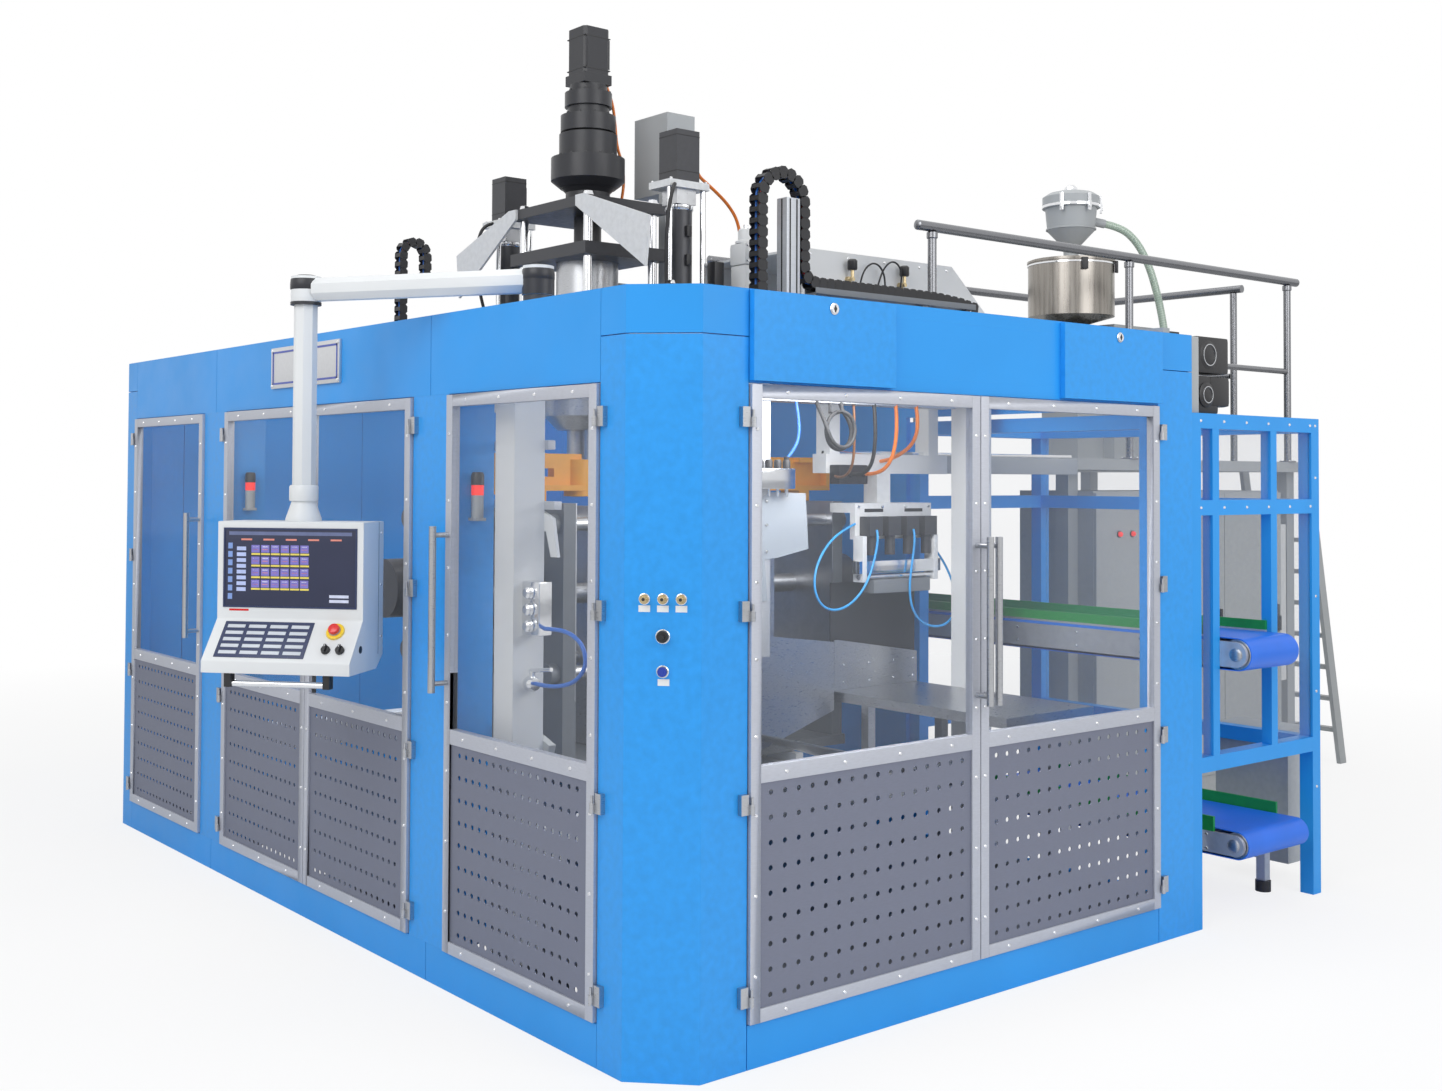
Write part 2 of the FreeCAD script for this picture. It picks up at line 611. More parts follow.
# ---------------------------------------------------------------- base and cabinet
def base_frame():
    """Welded base beams on the floor, with four anchor plates."""
    out = CAB_X / 2 - SHEET
    inn = out - BASE_W
    end = CAB_Y / 2 - SHEET
    solids = [
        block(-out, -inn, -BEAM_END_Y, BEAM_END_Y, 0, BASE_H),
        block(inn, out, -end, end, 0, BASE_H),
        block(BEAM_END_X, inn, -end, -end + BASE_W, 0, BASE_H),
        block(BEAM_END_X, inn, end - BASE_W, end, 0, BASE_H),
        block(-inn, inn, -BASE_MID_W / 2, BASE_MID_W / 2, 0, BASE_H),
    ]
    for side in (-1, 1):
        middle = side * COLUMN_Y
        solids.append(block(-inn, inn, middle - BASE_W / 2, middle + BASE_W / 2, 0, BASE_H))
    for sx in (-1, 1):
        for sy in (-1, 1):
            edge = sorted((sx * inn, sx * (inn - FOOT_PLATE)))
            middle = sy * ANCHOR_Y
            plate = block(edge[0], edge[1], middle - FOOT_PLATE / 2, middle + FOOT_PLATE / 2, 0, FOOT_PLATE_T)
            hole = disc(sx * ANCHOR_X, middle, -1, FOOT_PLATE_T + 1, ANCHOR_R)
            solids.append(plate.cut(hole))
    side = COLUMN_X - COLUMN / 2 - PAN_SIDE
    outer, cross = end - BASE_W + PAN_LAP, COLUMN_Y + BASE_W / 2 - PAN_LAP
    inner, middle = COLUMN_Y - BASE_W / 2 + PAN_LAP, BASE_MID_W / 2 - PAN_LAP
    for y0, y1 in ((-outer, -cross), (-inner, -middle), (middle, inner), (cross, outer)):
        solids.append(block(-side, side, y0, y1, BASE_H, BASE_H + PAN_T))
    return solids


def corner_outline(side):
    """Plan polyline of a chamfered corner post; side is -1 at the front, 1 at the back."""
    face = side * CAB_Y / 2
    line = [
        (FACE_OPERATOR, side * CORNER_Y),
        (FACE_OPERATOR, face - side * CHAMFER),
        (FACE_OPERATOR + CHAMFER, face),
        (CORNER_X0, face),
    ]
    return line if side < 0 else line[::-1]


def square_outline(side):
    """Plan polyline of a square corner post at the extruder side."""
    face = side * CAB_Y / 2
    line = [(CORNER_X1, face), (FACE_RIGHT, face), (FACE_RIGHT, face - side * POST_RIGHT)]
    return line if side < 0 else line[::-1]


def guard_frame():
    """Corner posts, the wide posts between doors, the roof frame and the arm's bearing."""
    solids = []
    for side in (-1, 1):
        solids.append(folded(corner_outline(side), SHEET, 0, CAP_Z - SEAM))
        solids.append(folded(square_outline(side), SHEET, 0, CAP_Z - SEAM))
    solids[0] = solids[0].cut(fitting_bores())
    for y0, y1 in (POST_NEAR, POST_FAR):
        solids.append(block(FACE_OPERATOR, FACE_OPERATOR + POST_DEEP, y0, y1, SILL_H, FASCIA_Z))
    z0, z1 = ROOF_BAR_Z, ROOF_BAR_Z + ROOF_BAR
    ox, oy = CAB_X / 2 - SHEET, CAB_Y / 2 - SHEET
    ix, iy = ox - ROOF_BAR, oy - ROOF_BAR
    solids.append(block(-ox, -ix, -BEAM_END_Y, BEAM_END_Y, z0, z1))
    solids.append(block(ix, ox, -iy, iy, z0, z1))
    solids.append(block(BEAM_END_X, ox, -oy, -iy, z0, z1))
    solids.append(block(BEAM_END_X, ox, iy, oy, z0, z1))
    px, py = ARM_PIVOT.x, ARM_PIVOT.y
    side = BEARING_SIDE
    solids.append(block(-ox, px + side, py - side, py + side, z1, z1 + BEARING_T))
    solids.append(disc(px, py, z1 + BEARING_T, ARM_Z - ARM_FLATS / 2 - BEARING_GAP, BEARING_R))
    return solids


def cap_sheets():
    """Corner caps on top of the corner posts."""
    solids = []
    for side in (-1, 1):
        solids.append(folded(corner_outline(side), SHEET, CAP_Z, CAB_H))
        solids.append(folded(square_outline(side), SHEET, CAP_Z, CAB_H))
    return solids


def side_sheets(z0, z1, cuts):
    """A row of sheets on the operator face between the given Y joints."""
    solids = []
    for y0, y1 in zip(cuts[:-1], cuts[1:]):
        solids.append(block(FACE_OPERATOR, FACE_OPERATOR + SHEET, y0 + SEAM / 2, y1 - SEAM / 2, z0, z1))
    return solids


def front_fascia():
    """Front fascia as strips round the two hatch openings."""
    y0, y1 = FACE_FRONT, FACE_FRONT + SHEET
    a0 = HATCH_LEFT_X + HATCH_REBATE
    a1 = HATCH_LEFT_X + HATCH_LEFT_W - HATCH_REBATE
    b0 = HATCH_RIGHT_X + HATCH_REBATE
    b1 = HATCH_RIGHT_X + HATCH_RIGHT_W - HATCH_REBATE
    low, high = HATCH_Z + HATCH_REBATE, HATCH_Z + HATCH_H - HATCH_REBATE
    x0, x1 = CORNER_X0 + SEAM, CORNER_X1 - SEAM
    return [
        block(x0, x1, y0, y1, FASCIA_Z, low),
        block(x0, x1, y0, y1, high, CAB_H),
        block(x0, a0, y0, y1, low, high),
        block(a1, b0, y0, y1, low, high),
        block(b1, x1, y0, y1, low, high),
    ]


def fascia_panels():
    """Blue band above the doors, with the corner caps."""
    cuts = (-CORNER_Y, -CORNER_Y + CORNER_SHEET, CORNER_Y - CORNER_SHEET, CORNER_Y)
    solids = side_sheets(FASCIA_Z, CAB_H, cuts)
    solids.extend(front_fascia())
    solids.extend(cap_sheets())
    return solids


def skirt_panels():
    """Sills on the operator side and the front, and the plain sheets of the two hidden sides."""
    cuts = (-CORNER_Y, -CORNER_Y + CORNER_SHEET, CORNER_Y - CORNER_SHEET, CORNER_Y)
    solids = side_sheets(0, SILL_H, cuts)
    y0, y1 = FACE_FRONT, FACE_FRONT + SHEET
    solids.append(block(CORNER_X0 + SEAM, CORNER_X1 - SEAM, y0, y1, 0, SILL_H))
    b0, b1 = FACE_BACK - SHEET, FACE_BACK
    middle = (CORNER_X0 + CORNER_X1) / 2
    solids.append(block(CORNER_X0 + SEAM, middle - SEAM / 2, b0, b1, 0, CAB_H))
    solids.append(block(middle + SEAM / 2, CORNER_X1 - SEAM, b0, b1, 0, CAB_H))
    x0, x1 = FACE_RIGHT - SHEET, FACE_RIGHT
    end = CAB_Y / 2 - POST_RIGHT - SEAM
    solids.append(block(x0, x1, COLUMN_Y, end, 0, FASCIA_Z))
    solids.append(block(x0, x1, -end, end, FASCIA_Z, CAB_H))
    solids.append(block(x0, x1, -end, COLUMN_Y - SEAM, 0, SILL_H))
    solids.append(block(x0, x1, ANNEX_Y1, COLUMN_Y - SEAM, SILL_H, FASCIA_Z))
    return solids


# ---------------------------------------------------------------- guard doors
# name, side of the cabinet, hinge line, free edge, handle height
DOORS = (
    ("door_a", "operator", CORNER_Y, POST_FAR[1], HANDLE_Z),
    ("door_b", "operator", POST_FAR[0], 0.0, HANDLE_Z),
    ("door_c", "operator", POST_NEAR[1], 0.0, HANDLE_Z),
    ("door_d", "operator", -CORNER_Y, POST_NEAR[0], HANDLE_Z),
    ("door_e", "front", CORNER_X0, FRONT_SPLIT, HANDLE_FRONT_Z),
    ("door_f", "front", CORNER_X1, FRONT_SPLIT, HANDLE_FRONT_Z),
)


def place(side, u0, u1, v0, v1, z0, z1):
    """Block on a door's side: u runs along the cabinet face, v is the distance in front of it."""
    a, b = sorted((u0, u1))
    if side == "operator":
        return block(FACE_OPERATOR - v1, FACE_OPERATOR - v0, a, b, z0, z1)
    return block(a, b, FACE_FRONT - v1, FACE_FRONT - v0, z0, z1)


def spot(side, u, v, z):
    """Point on a door's side, as in place()."""
    if side == "operator":
        return V(FACE_OPERATOR - v, u, z)
    return V(u, FACE_FRONT - v, z)


def door_edges(hinge, free):
    """Hinge edge and free edge of the door leaf, and the direction from one to the other."""
    way = 1 if free > hinge else -1
    half = DOOR_GAP / 2
    return hinge + way * DOOR_GAP, free - way * half, way


def door_frame(side, hinge, free, handle_z):
    """Aluminium frame, lower sheet, handle and the door halves of the hinges."""
    a, b, way = door_edges(hinge, free)
    v0, v1 = DOOR_PROUD - DOOR_T, DOOR_PROUD
    bar = way * DOOR_BAR
    mid1 = DOOR_MID_Z + DOOR_MID_H
    solids = [
        place(side, a, a + bar, v0, v1, DOOR_Z0, DOOR_Z1),
        place(side, b - bar, b, v0, v1, DOOR_Z0, DOOR_Z1),
        place(side, a + bar, b - bar, v0, v1, DOOR_Z0, DOOR_Z0 + DOOR_BAR),
        place(side, a + bar, b - bar, v0, v1, DOOR_Z1 - DOOR_BAR, DOOR_Z1),
        place(side, a + bar, b - bar, v0, v1, DOOR_MID_Z, mid1),
        place(side, a + bar, b - bar, 0, PERF_T, DOOR_Z0 + DOOR_BAR, DOOR_MID_Z),
    ]
    solids.extend(handle(side, b - bar / 2, handle_z))
    for z in HINGE_Z:
        solids.append(door_leaf(side, hinge, way, z))
    return solids


def handle(side, u, z):
    """Tube handle on two studs."""
    z0, z1 = z - HANDLE_LEN / 2, z + HANDLE_LEN / 2
    out = DOOR_PROUD + HANDLE_STAND
    grip = rod(spot(side, u, out, z0 - HANDLE_END), spot(side, u, out, z1 + HANDLE_END), HANDLE_R)
    low = rod(spot(side, u, DOOR_PROUD, z0), spot(side, u, out, z0), HANDLE_STUD_R)
    high = rod(spot(side, u, DOOR_PROUD, z1), spot(side, u, out, z1), HANDLE_STUD_R)
    return [grip, low.cut(grip), high.cut(grip)]


def hinge_line(side, hinge, way, z):
    """Point on a door's hinge axis."""
    return spot(side, hinge + way * DOOR_GAP / 2, DOOR_PROUD + HINGE_OUT, z)


def door_leaf(side, hinge, way, z):
    """Hinge leaf on the door, with the upper barrel round the pin."""
    edge = hinge + way * DOOR_GAP / 2
    half = HINGE_H / 2
    v0, v1 = DOOR_PROUD, DOOR_PROUD + HINGE_T
    near = HINGE_BARREL_R + HINGE_CLEAR
    plate = place(side, edge + way * near, edge + way * HINGE_LEAF, v0, v1, z - half, z + half)
    low = z + HINGE_CLEAR
    barrel = rod(hinge_line(side, hinge, way, low), hinge_line(side, hinge, way, z + half), HINGE_BARREL_R)
    web = place(side, edge, edge + way * (near + HINGE_WEB), v0 + HINGE_CLEAR, v1, low, z + half)
    bore = rod(
        hinge_line(side, hinge, way, z - half),
        hinge_line(side, hinge, way, z + half - HINGE_ROOF),
        HINGE_PIN_R + HINGE_FIT,
    )
    return plate.fuse([barrel, web]).cut(bore)


def post_leaf(side, hinge, way, z):
    """Hinge leaf on the post, with the lower barrel and the pin; a spacer seats it on the sheet."""
    edge = hinge + way * DOOR_GAP / 2
    half = HINGE_H / 2
    v1 = DOOR_PROUD + HINGE_T
    near = HINGE_BARREL_R + HINGE_CLEAR
    plate = place(side, edge - way * near, edge - way * HINGE_LEAF, 0, v1, z - half, z + half)
    barrel = rod(hinge_line(side, hinge, way, z - half), hinge_line(side, hinge, way, z), HINGE_BARREL_R)
    web = place(side, edge, edge - way * (near + HINGE_WEB), DOOR_PROUD + HINGE_CLEAR, v1, z - half, z)
    top = z + half - HINGE_ROOF - HINGE_TOP_CLEAR
    pin = rod(hinge_line(side, hinge, way, z), hinge_line(side, hinge, way, top), HINGE_PIN_R)
    return plate.fuse([barrel, web, pin])


def hinge_leaves():
    """Fixed halves of all door hinges."""
    solids = []
    for _, side, hinge, free, _ in DOORS:
        way = door_edges(hinge, free)[2]
        for z in HINGE_Z:
            solids.append(post_leaf(side, hinge, way, z))
    return solids


def door_window(side, hinge, free):
    """Clear pane in the upper part of a door."""
    a, b, way = door_edges(hinge, free)
    bar = way * DOOR_BAR
    z0, z1 = DOOR_MID_Z + DOOR_MID_H, DOOR_Z1 - DOOR_BAR
    return [place(side, a + bar, b - bar, -PANE_T, 0, z0, z1)]


# ---------------------------------------------------------------- hatches
def hatch(x0, width):
    """Cover sheet over a fascia opening, with its quarter-turn lock."""
    y0, y1 = FACE_FRONT - HATCH_T, FACE_FRONT
    sheet = block(x0, x0 + width, y0, y1, HATCH_Z, HATCH_Z + HATCH_H)
    z = HATCH_Z + HATCH_H - LOCK_DROP
    x = x0 + width / 2 + LOCK_ASIDE
    lock = rod(V(x, y0, z), V(x, y0 - LOCK_PROUD, z), LOCK_R)
    return [sheet, lock]


# ---------------------------------------------------------------- clamp stations
def press_frame():
    """Columns, portals, the beams under the head, the bed beams and their linear rails."""
    solids = []
    half = COLUMN / 2
    for sx in (-1, 1):
        for sy in (-1, 1):
            x, y = sx * COLUMN_X, sy * COLUMN_Y
            solids.append(block(x - half, x + half, y - half, y + half, BASE_H, PORTAL_Z))
    for sy in (-1, 1):
        y = sy * COLUMN_Y
        reach = COLUMN_X + half
        solids.append(block(-reach, reach, y - half, y + half, PORTAL_Z, PORTAL_Z + PORTAL_H))
        reach = COLUMN_X - half
        solids.append(block(-reach, reach, y - half, y + half, BED_Z, RAIL_TOP - RAIL_H))
    top = PORTAL_Z + PORTAL_H
    for sx in (-1, 1):
        x = HEAD_X + sx * TOP_BEAM_X
        w = TOP_BEAM_W / 2
        end = COLUMN_Y + half
        solids.append(block(x - w, x + w, -end, end, top, top + TOP_BEAM_H))
    span = TOP_BEAM_X - TOP_BEAM_W / 2
    for centre in (-STATION, STATION):
        for sy in (-1, 1):
            y = centre + sy * BLOW_POST_Y
            y0, y1 = y - TOP_CROSS, y + TOP_CROSS
            solids.append(block(HEAD_X - span, HEAD_X + span, y0, y1, top, top + TOP_BEAM_H))
    for sx in (-1, 1):
        bed = COLUMN_Y - half
        x = sx * RAIL_X
        solids.append(block(x - BED_W / 2, x + BED_W / 2, -bed, bed, BED_Z, RAIL_TOP - RAIL_H))
        rail = STATION + CARRIAGE_W / 2 + RAIL_END
        solids.append(block(x - RAIL_W / 2, x + RAIL_W / 2, -rail, rail, RAIL_TOP - RAIL_H, RAIL_TOP))
    solids.extend(takeout_beam())
    return solids


def takeout_beam():
    """Beam of the take-out slide, hung from the front portal."""
    y0, y1 = TAKE_Y + TAKE_BEAM_Y[0], TAKE_Y + TAKE_BEAM_Y[1]
    portal = -COLUMN_Y + COLUMN / 2
    beam_top = TAKE_BEAM_Z + TAKE_BEAM_H
    solids = [block(TAKE_X + TAKE_BEAM_X[0], TAKE_X + TAKE_BEAM_X[1], y0, y1, TAKE_BEAM_Z, beam_top)]
    for offset in TAKE_HANG_X:
        x0, x1 = TAKE_X + offset, TAKE_X + offset + TAKE_HANG
        solids.append(block(x0, x1, portal, y1, PORTAL_Z, PORTAL_Z + TAKE_HANG))
        solids.append(block(x0, x1, y0, y1, beam_top, PORTAL_Z))
    return solids


def carriage(centre):
    """Sliding base with runners, end plates, tie bars, clamp cylinders and cast yokes."""
    y0, y1 = centre - CARRIAGE_W / 2, centre + CARRIAGE_W / 2
    top = CARRIAGE_Z + CARRIAGE_T
    solids = [block(-CARRIAGE_X, CARRIAGE_X, y0, y1, CARRIAGE_Z, top)]
    for sx in (-1, 1):
        x = sx * RAIL_X
        for y in (y0 + RUNNER_IN, y1 - RUNNER_IN - RUNNER_LEN):
            a, b = x - RUNNER_HALF, x + RUNNER_HALF
            solids.append(block(a, b, y, y + RUNNER_LEN, RAIL_TOP + SLIDE_FIT, CARRIAGE_Z))
        solids.append(end_plate(centre, sx))
        solids.append(clamp_cylinder(centre, sx))
        solids.append(yoke(centre, sx))
    reach = CARRIAGE_X - END_PLATE_T
    for sy in (-1, 1):
        for z in TIE_Z:
            y = centre + sy * TIE_Y
            solids.append(rod(V(-reach, y, z), V(reach, y, z), TIE_R))
    return solids


def end_plate(centre, side):
    """End plate with the tie bars' nuts and the piston rod's bore; side is -1 towards the operator."""
    half = CARRIAGE_W / 2 - PLATE_IN
    x0, x1 = sorted((side * CARRIAGE_X, side * (CARRIAGE_X - END_PLATE_T)))
    plate = block(x0, x1, centre - half, centre + half, CARRIAGE_Z + CARRIAGE_T, END_PLATE_TOP)
    plate = plate.cut(rod(V(x0 - 1, centre, RAM_Z), V(x1 + 1, centre, RAM_Z), RAM_ROD_R + SLIDE_FIT))
    for sy in (-1, 1):
        for z in TIE_Z:
            y = centre + sy * TIE_Y
            face, end = side * CARRIAGE_X, side * (CARRIAGE_X + NUT_LEN)
            plate = plate.fuse(rod(V(face, y, z), V(end, y, z), NUT_R))
    return plate


def clamp_cylinder(centre, side):
    """Closed cylinder with its flange on the end plate."""
    face = side * CARRIAGE_X
    tube = rod(V(face, centre, RAM_Z), V(face + side * RAM_LEN, centre, RAM_Z), RAM_R)
    tube = tube.fuse(rod(V(face, centre, RAM_Z), V(face + side * RAM_FLANGE_T, centre, RAM_Z), RAM_FLANGE_R))
    depth = RAM_LEN - RAM_CAP
    bore = rod(V(face - side, centre, RAM_Z), V(face + side * depth, centre, RAM_Z), RAM_ROD_R + SLIDE_FIT)
    return tube.cut(bore)


def yoke(centre, side):
    """Cast yoke on an end plate: foot, flanged arm with a window, end flange and bored boss."""
    base = END_PLATE_TOP
    foot_x = CARRIAGE_X - END_PLATE_T
    web_low = base + YOKE_FOOT
    top = base + YOKE_H
    w0, w1, low, high = YOKE_WINDOW

    def part(a, b, half, z0, z1):
        x0, x1 = sorted((side * a, side * b))
        return block(x0, x1, centre - half, centre + half, z0, z1)

    solid = part(foot_x, CARRIAGE_X, YOKE_HALF, base, web_low)
    solid = solid.fuse(part(YOKE_BOSS_X, YOKE_X0, YOKE_WEB, web_low, top))
    solid = solid.fuse(part(YOKE_BOSS_X, YOKE_X0, YOKE_HALF, web_low, web_low + YOKE_WALL))
    solid = solid.fuse(part(YOKE_FLANGE_X, YOKE_X0, YOKE_HALF, top - YOKE_WALL, top))
    solid = solid.fuse(part(YOKE_X0 - YOKE_WALL, YOKE_X0, YOKE_HALF, web_low, top))
    solid = solid.fuse(disc(side * YOKE_BOSS_X, centre, web_low - YOKE_WALL, top - YOKE_WALL, YOKE_BOSS_R))
    solid = solid.cut(disc(side * YOKE_BOSS_X, centre, base, top + 1, YOKE_BORE_R))
    solid = solid.cut(part(w0, w1, YOKE_HALF, base + low, base + high))
    return solid.removeSplitter()


def platen(centre, side):
    """Sliding platen with its mould half and piston rod; side is -1 towards the operator."""
    y0, y1 = centre - CARRIAGE_W / 2 + PLATE_IN, centre + CARRIAGE_W / 2 - PLATE_IN
    face = side * PLATEN_OUT
    back = side * (PLATEN_OUT + PLATEN_T)
    x0, x1 = sorted((face, back))
    low = CARRIAGE_Z + CARRIAGE_T + PLATEN_LIFT
    plate = block(x0, x1, y0, y1, low, END_PLATE_TOP - PLATEN_DROP)
    for sy in (-1, 1):
        for z in TIE_Z:
            y = centre + sy * TIE_Y
            plate = plate.cut(rod(V(x0 - 1, y, z), V(x1 + 1, y, z), TIE_R + SLIDE_FIT))
    x0, x1 = sorted((face, side * (PLATEN_OUT - MOULD_T)))
    mould = block(x0, x1, centre - MOULD_Y / 2, centre + MOULD_Y / 2, MOULD_Z0, MOULD_Z1)
    end = side * (CARRIAGE_X + RAM_ROD_IN)
    piston = rod(V(back, centre, RAM_Z), V(end, centre, RAM_Z), RAM_ROD_R)
    return [plate, mould, piston]


# ---------------------------------------------------------------- head and drives above the roof
def column_stand():
    """Two plates on columns over the head, on bars across the top beams."""
    plan = (HEAD_X - STAND_HALF_X, HEAD_X + STAND_HALF_X, -STAND_HALF_Y, STAND_HALF_Y)
    low_top = LOW_PLATE_Z + LOW_PLATE_T
    foot = PORTAL_Z + PORTAL_H + TOP_BEAM_H
    bore = disc(HEAD_X, 0, LOW_PLATE_Z - 1, low_top + 1, HEAD_NECK_R + NECK_CLEAR)
    solids = [block(*plan, LOW_PLATE_Z, low_top).cut(bore), block(*plan, UP_PLATE_Z, UP_PLATE_Z + UP_PLATE_T)]
    span = TOP_BEAM_X + TOP_BEAM_W / 2
    for sy in (-1, 1):
        y = sy * (STAND_HALF_Y - STAND_COL_IN)
        bar = STAND_COL_R + STAND_BAR_SIDE
        solids.append(block(HEAD_X - span, HEAD_X + span, y - bar, y + bar, foot, foot + STAND_BAR_H))
        for sx in (-1, 1):
            x = HEAD_X + sx * (STAND_HALF_X - STAND_COL_IN)
            solids.append(disc(x, y, foot + STAND_BAR_H, LOW_PLATE_Z, STAND_COL_R))
            solids.append(disc(x, y, low_top, UP_PLATE_Z, STAND_COL_R))
    return solids


def parison_drive():
    """Spindle between the stand's plates, and the servo motor on its stack of gears above them."""
    solids = [disc(HEAD_X, 0, LOW_PLATE_Z + LOW_PLATE_T, UP_PLATE_Z, SPINDLE_R)]
    base = UP_PLATE_Z + UP_PLATE_T
    for rings in DRIVE_STACK:
        profile = [(r, base + h) for r, h in rings]
        profile = [(0, profile[0][1])] + profile + [(0, profile[-1][1])]
        solids.append(turned(profile, HEAD_X, 0))
    flange, body = DRIVE_FLANGE / 2, DRIVE_SERVO / 2
    x, top = HEAD_X, DRIVE_FLANGE_Z + DRIVE_FLANGE_T
    solids.append(block(x - flange, x + flange, -flange, flange, DRIVE_FLANGE_Z, top))
    servo = block(x - body, x + body, -body, body, top, DRIVE_TOP)
    upright = [edge for edge in servo.Edges if edge.BoundBox.ZLength > DRIVE_SERVO]
    solids.append(servo.makeChamfer(DRIVE_CHAMFER, upright))
    return solids


def extrusion_head():
    """Parison head under the stand, with its two dies."""
    top = LOW_PLATE_Z + LOW_PLATE_T
    low = HEAD_TOP - HEAD_BODY_H
    neck = [(0, HEAD_TOP), (HEAD_NECK_R, HEAD_TOP), (HEAD_NECK_R, top), (0, top)]
    slope = HEAD_R - HEAD_SHOULDER_R
    body = [(0, low), (HEAD_SHOULDER_R, low), (HEAD_R, low + slope), (HEAD_R, HEAD_TOP - slope)]
    body += [(HEAD_SHOULDER_R, HEAD_TOP), (0, HEAD_TOP)]
    solids = [turned(neck, HEAD_X, 0), turned(body, HEAD_X, 0)]
    for sy in (-1, 1):
        die = [(0, HEAD_LOW), (DIE_LIP_R, HEAD_LOW), (DIE_R, HEAD_LOW + DIE_TAPER), (DIE_R, low), (0, low)]
        solids.append(turned(die, HEAD_X, sy * DIE_Y))
    return solids


def blow_units():
    """The two blow units: posts, base plate, cylinder, flange, servo and gusset."""
    solids = []
    foot = PORTAL_Z + PORTAL_H + TOP_BEAM_H
    base = BLOW_PLATE_Z + BLOW_PLATE_T
    for way in (-1, 1):
        y = way * STATION
        x = HEAD_X
        bore = disc(x, y, BLOW_PLATE_Z - 1, BLOW_TUBE_TOP - BLOW_TUBE_CAP, PIN_R + SLIDE_FIT)
        plate = column(x, y, BLOW_PLATE_X, BLOW_PLATE_Y, BLOW_PLATE_Z, base)
        solids.append(plate.cut(bore))
        solids.append(disc(x, y, base, BLOW_TUBE_TOP, BLOW_TUBE_R).cut(bore))
        ring = BLOW_SERVO_Z - BLOW_RING_T
        solids.append(column(x, y, BLOW_HOUSING, BLOW_HOUSING, BLOW_TUBE_TOP, ring))
        solids.append(column(x, y, BLOW_RING_X, BLOW_RING_Y, ring, BLOW_SERVO_Z))
        solids.append(column(x, y, BLOW_SERVO / 2, BLOW_SERVO / 2, BLOW_SERVO_Z, BLOW_SERVO_TOP))
        for sx in (-1, 1):
            for sy in (-1, 1):
                post = (x + sx * BLOW_POST_X, y + sy * BLOW_POST_Y)
                solids.append(disc(*post, foot, BLOW_PLATE_Z, BLOW_POST_R))
            solids.append(disc(x + sx * BLOW_BAR_X, y - BLOW_BAR_Y, base, ring, BLOW_BAR_R))
        solids.append(gusset(way))
    return solids


def gusset(way):
    """White triangular plate between the stand's upper plate and a blow unit."""
    x1 = HEAD_X - STAND_HALF_X
    z = UP_PLATE_Z + UP_PLATE_T
    inner = STAND_HALF_Y - GUSSET_IN
    low_out, low_up, high_out, high_up = GUSSET_OUT
    outline = [(inner, z), (inner, z - UP_PLATE_T), (STATION + low_out, BLOW_PLATE_Z + low_up)]
    outline += [(STATION + high_out, BLOW_PLATE_Z + high_up), (STAND_HALF_Y, z)]
    ring = [V(x1 - GUSSET_T, way * y, h) for y, h in outline]
    return Part.Face(Part.makePolygon(ring + ring[:1])).extrude(V(GUSSET_T, 0, 0))


def blow_pin(way):
    """Blow pin that slides in its cylinder."""
    y = way * STATION
    tip = [(0, PIN_LOW), (PIN_TIP_R, PIN_LOW), (PIN_R, PIN_LOW + PIN_TIP_H), (PIN_R, PIN_TOP), (0, PIN_TOP)]
    return [turned(tip, HEAD_X, y)]


def extruder():
    """Barrel with its adapter at the head, feed throat, gearbox and motor on its pedestal."""
    z = EXTRUDER_Z
    start = HEAD_X + math.sqrt(HEAD_NECK_R ** 2 - BARREL_R ** 2) + BARREL_CLEAR + BARREL_JOINT
    adapter = rod(V(HEAD_X + BARREL_R, 0, z), V(start, 0, z), BARREL_R)
    adapter = adapter.cut(disc(HEAD_X, 0, z - HEAD_NECK_R, z + HEAD_NECK_R, HEAD_NECK_R))
    solids = [adapter, rod(V(start, 0, z), V(FEED_X0, 0, z), BARREL_R)]
    solids.append(block(FEED_X0, FEED_X1, -FEED_HALF, FEED_HALF, DECK_Z, HOPPER_Z - HOPPER_NECK_H))
    solids.append(block(FEED_X1, GEAR_X1, -GEAR_HALF, GEAR_HALF, DECK_Z, GEAR_TOP))
    far = GEAR_X1 + MOTOR_LEN
    motor = rod(V(GEAR_X1, 0, MOTOR_Z), V(far, 0, MOTOR_Z), MOTOR_R)
    x0, x1 = GEAR_X1 + MOTOR_FOOT_IN, far - MOTOR_FOOT_IN
    top = MOTOR_Z - MOTOR_R + MOTOR_SINK
    pedestal = block(x0, x1, -MOTOR_FOOT_HALF, MOTOR_FOOT_HALF, DECK_Z, top)
    solids.append(motor.fuse(pedestal))
    return solids


def extruder_cover():
    """White guard over the barrel: two sides with a sloped end, a top, its feet and the chain's tray."""
    outline = [
        (COVER_X0, COVER_LOW),
        (COVER_X2, COVER_LOW),
        (COVER_X2, COVER_SLOPE_Z),
        (COVER_X1, COVER_TOP),
        (COVER_X0, COVER_TOP),
    ]
    t = COVER_T
    roof_top = ROOF_BAR_Z + ROOF_BAR
    bar = CAB_X / 2 - SHEET - ROOF_BAR
    solids = [
        side_prism(outline, -COVER_HALF, -COVER_HALF + t),
        side_prism(outline, COVER_HALF - t, COVER_HALF),
        block(COVER_X0, COVER_X1, -COVER_HALF + t, COVER_HALF - t, COVER_TOP - t, COVER_TOP),
    ]
    for sy in (-1, 1):
        y0, y1 = sorted((sy * COVER_HALF, sy * (COVER_HALF - COVER_FOOT_W)))
        solids.append(block(bar, bar + ROOF_BAR, y0, y1, roof_top, COVER_LOW))
    y0, y1 = -COVER_HALF - TRAY_W, -COVER_HALF
    solids.append(block(COVER_X0, COVER_X1 - TRAY_SHORT, y0, y1, COVER_LOW, COVER_LOW + TRAY_T))
    return solids


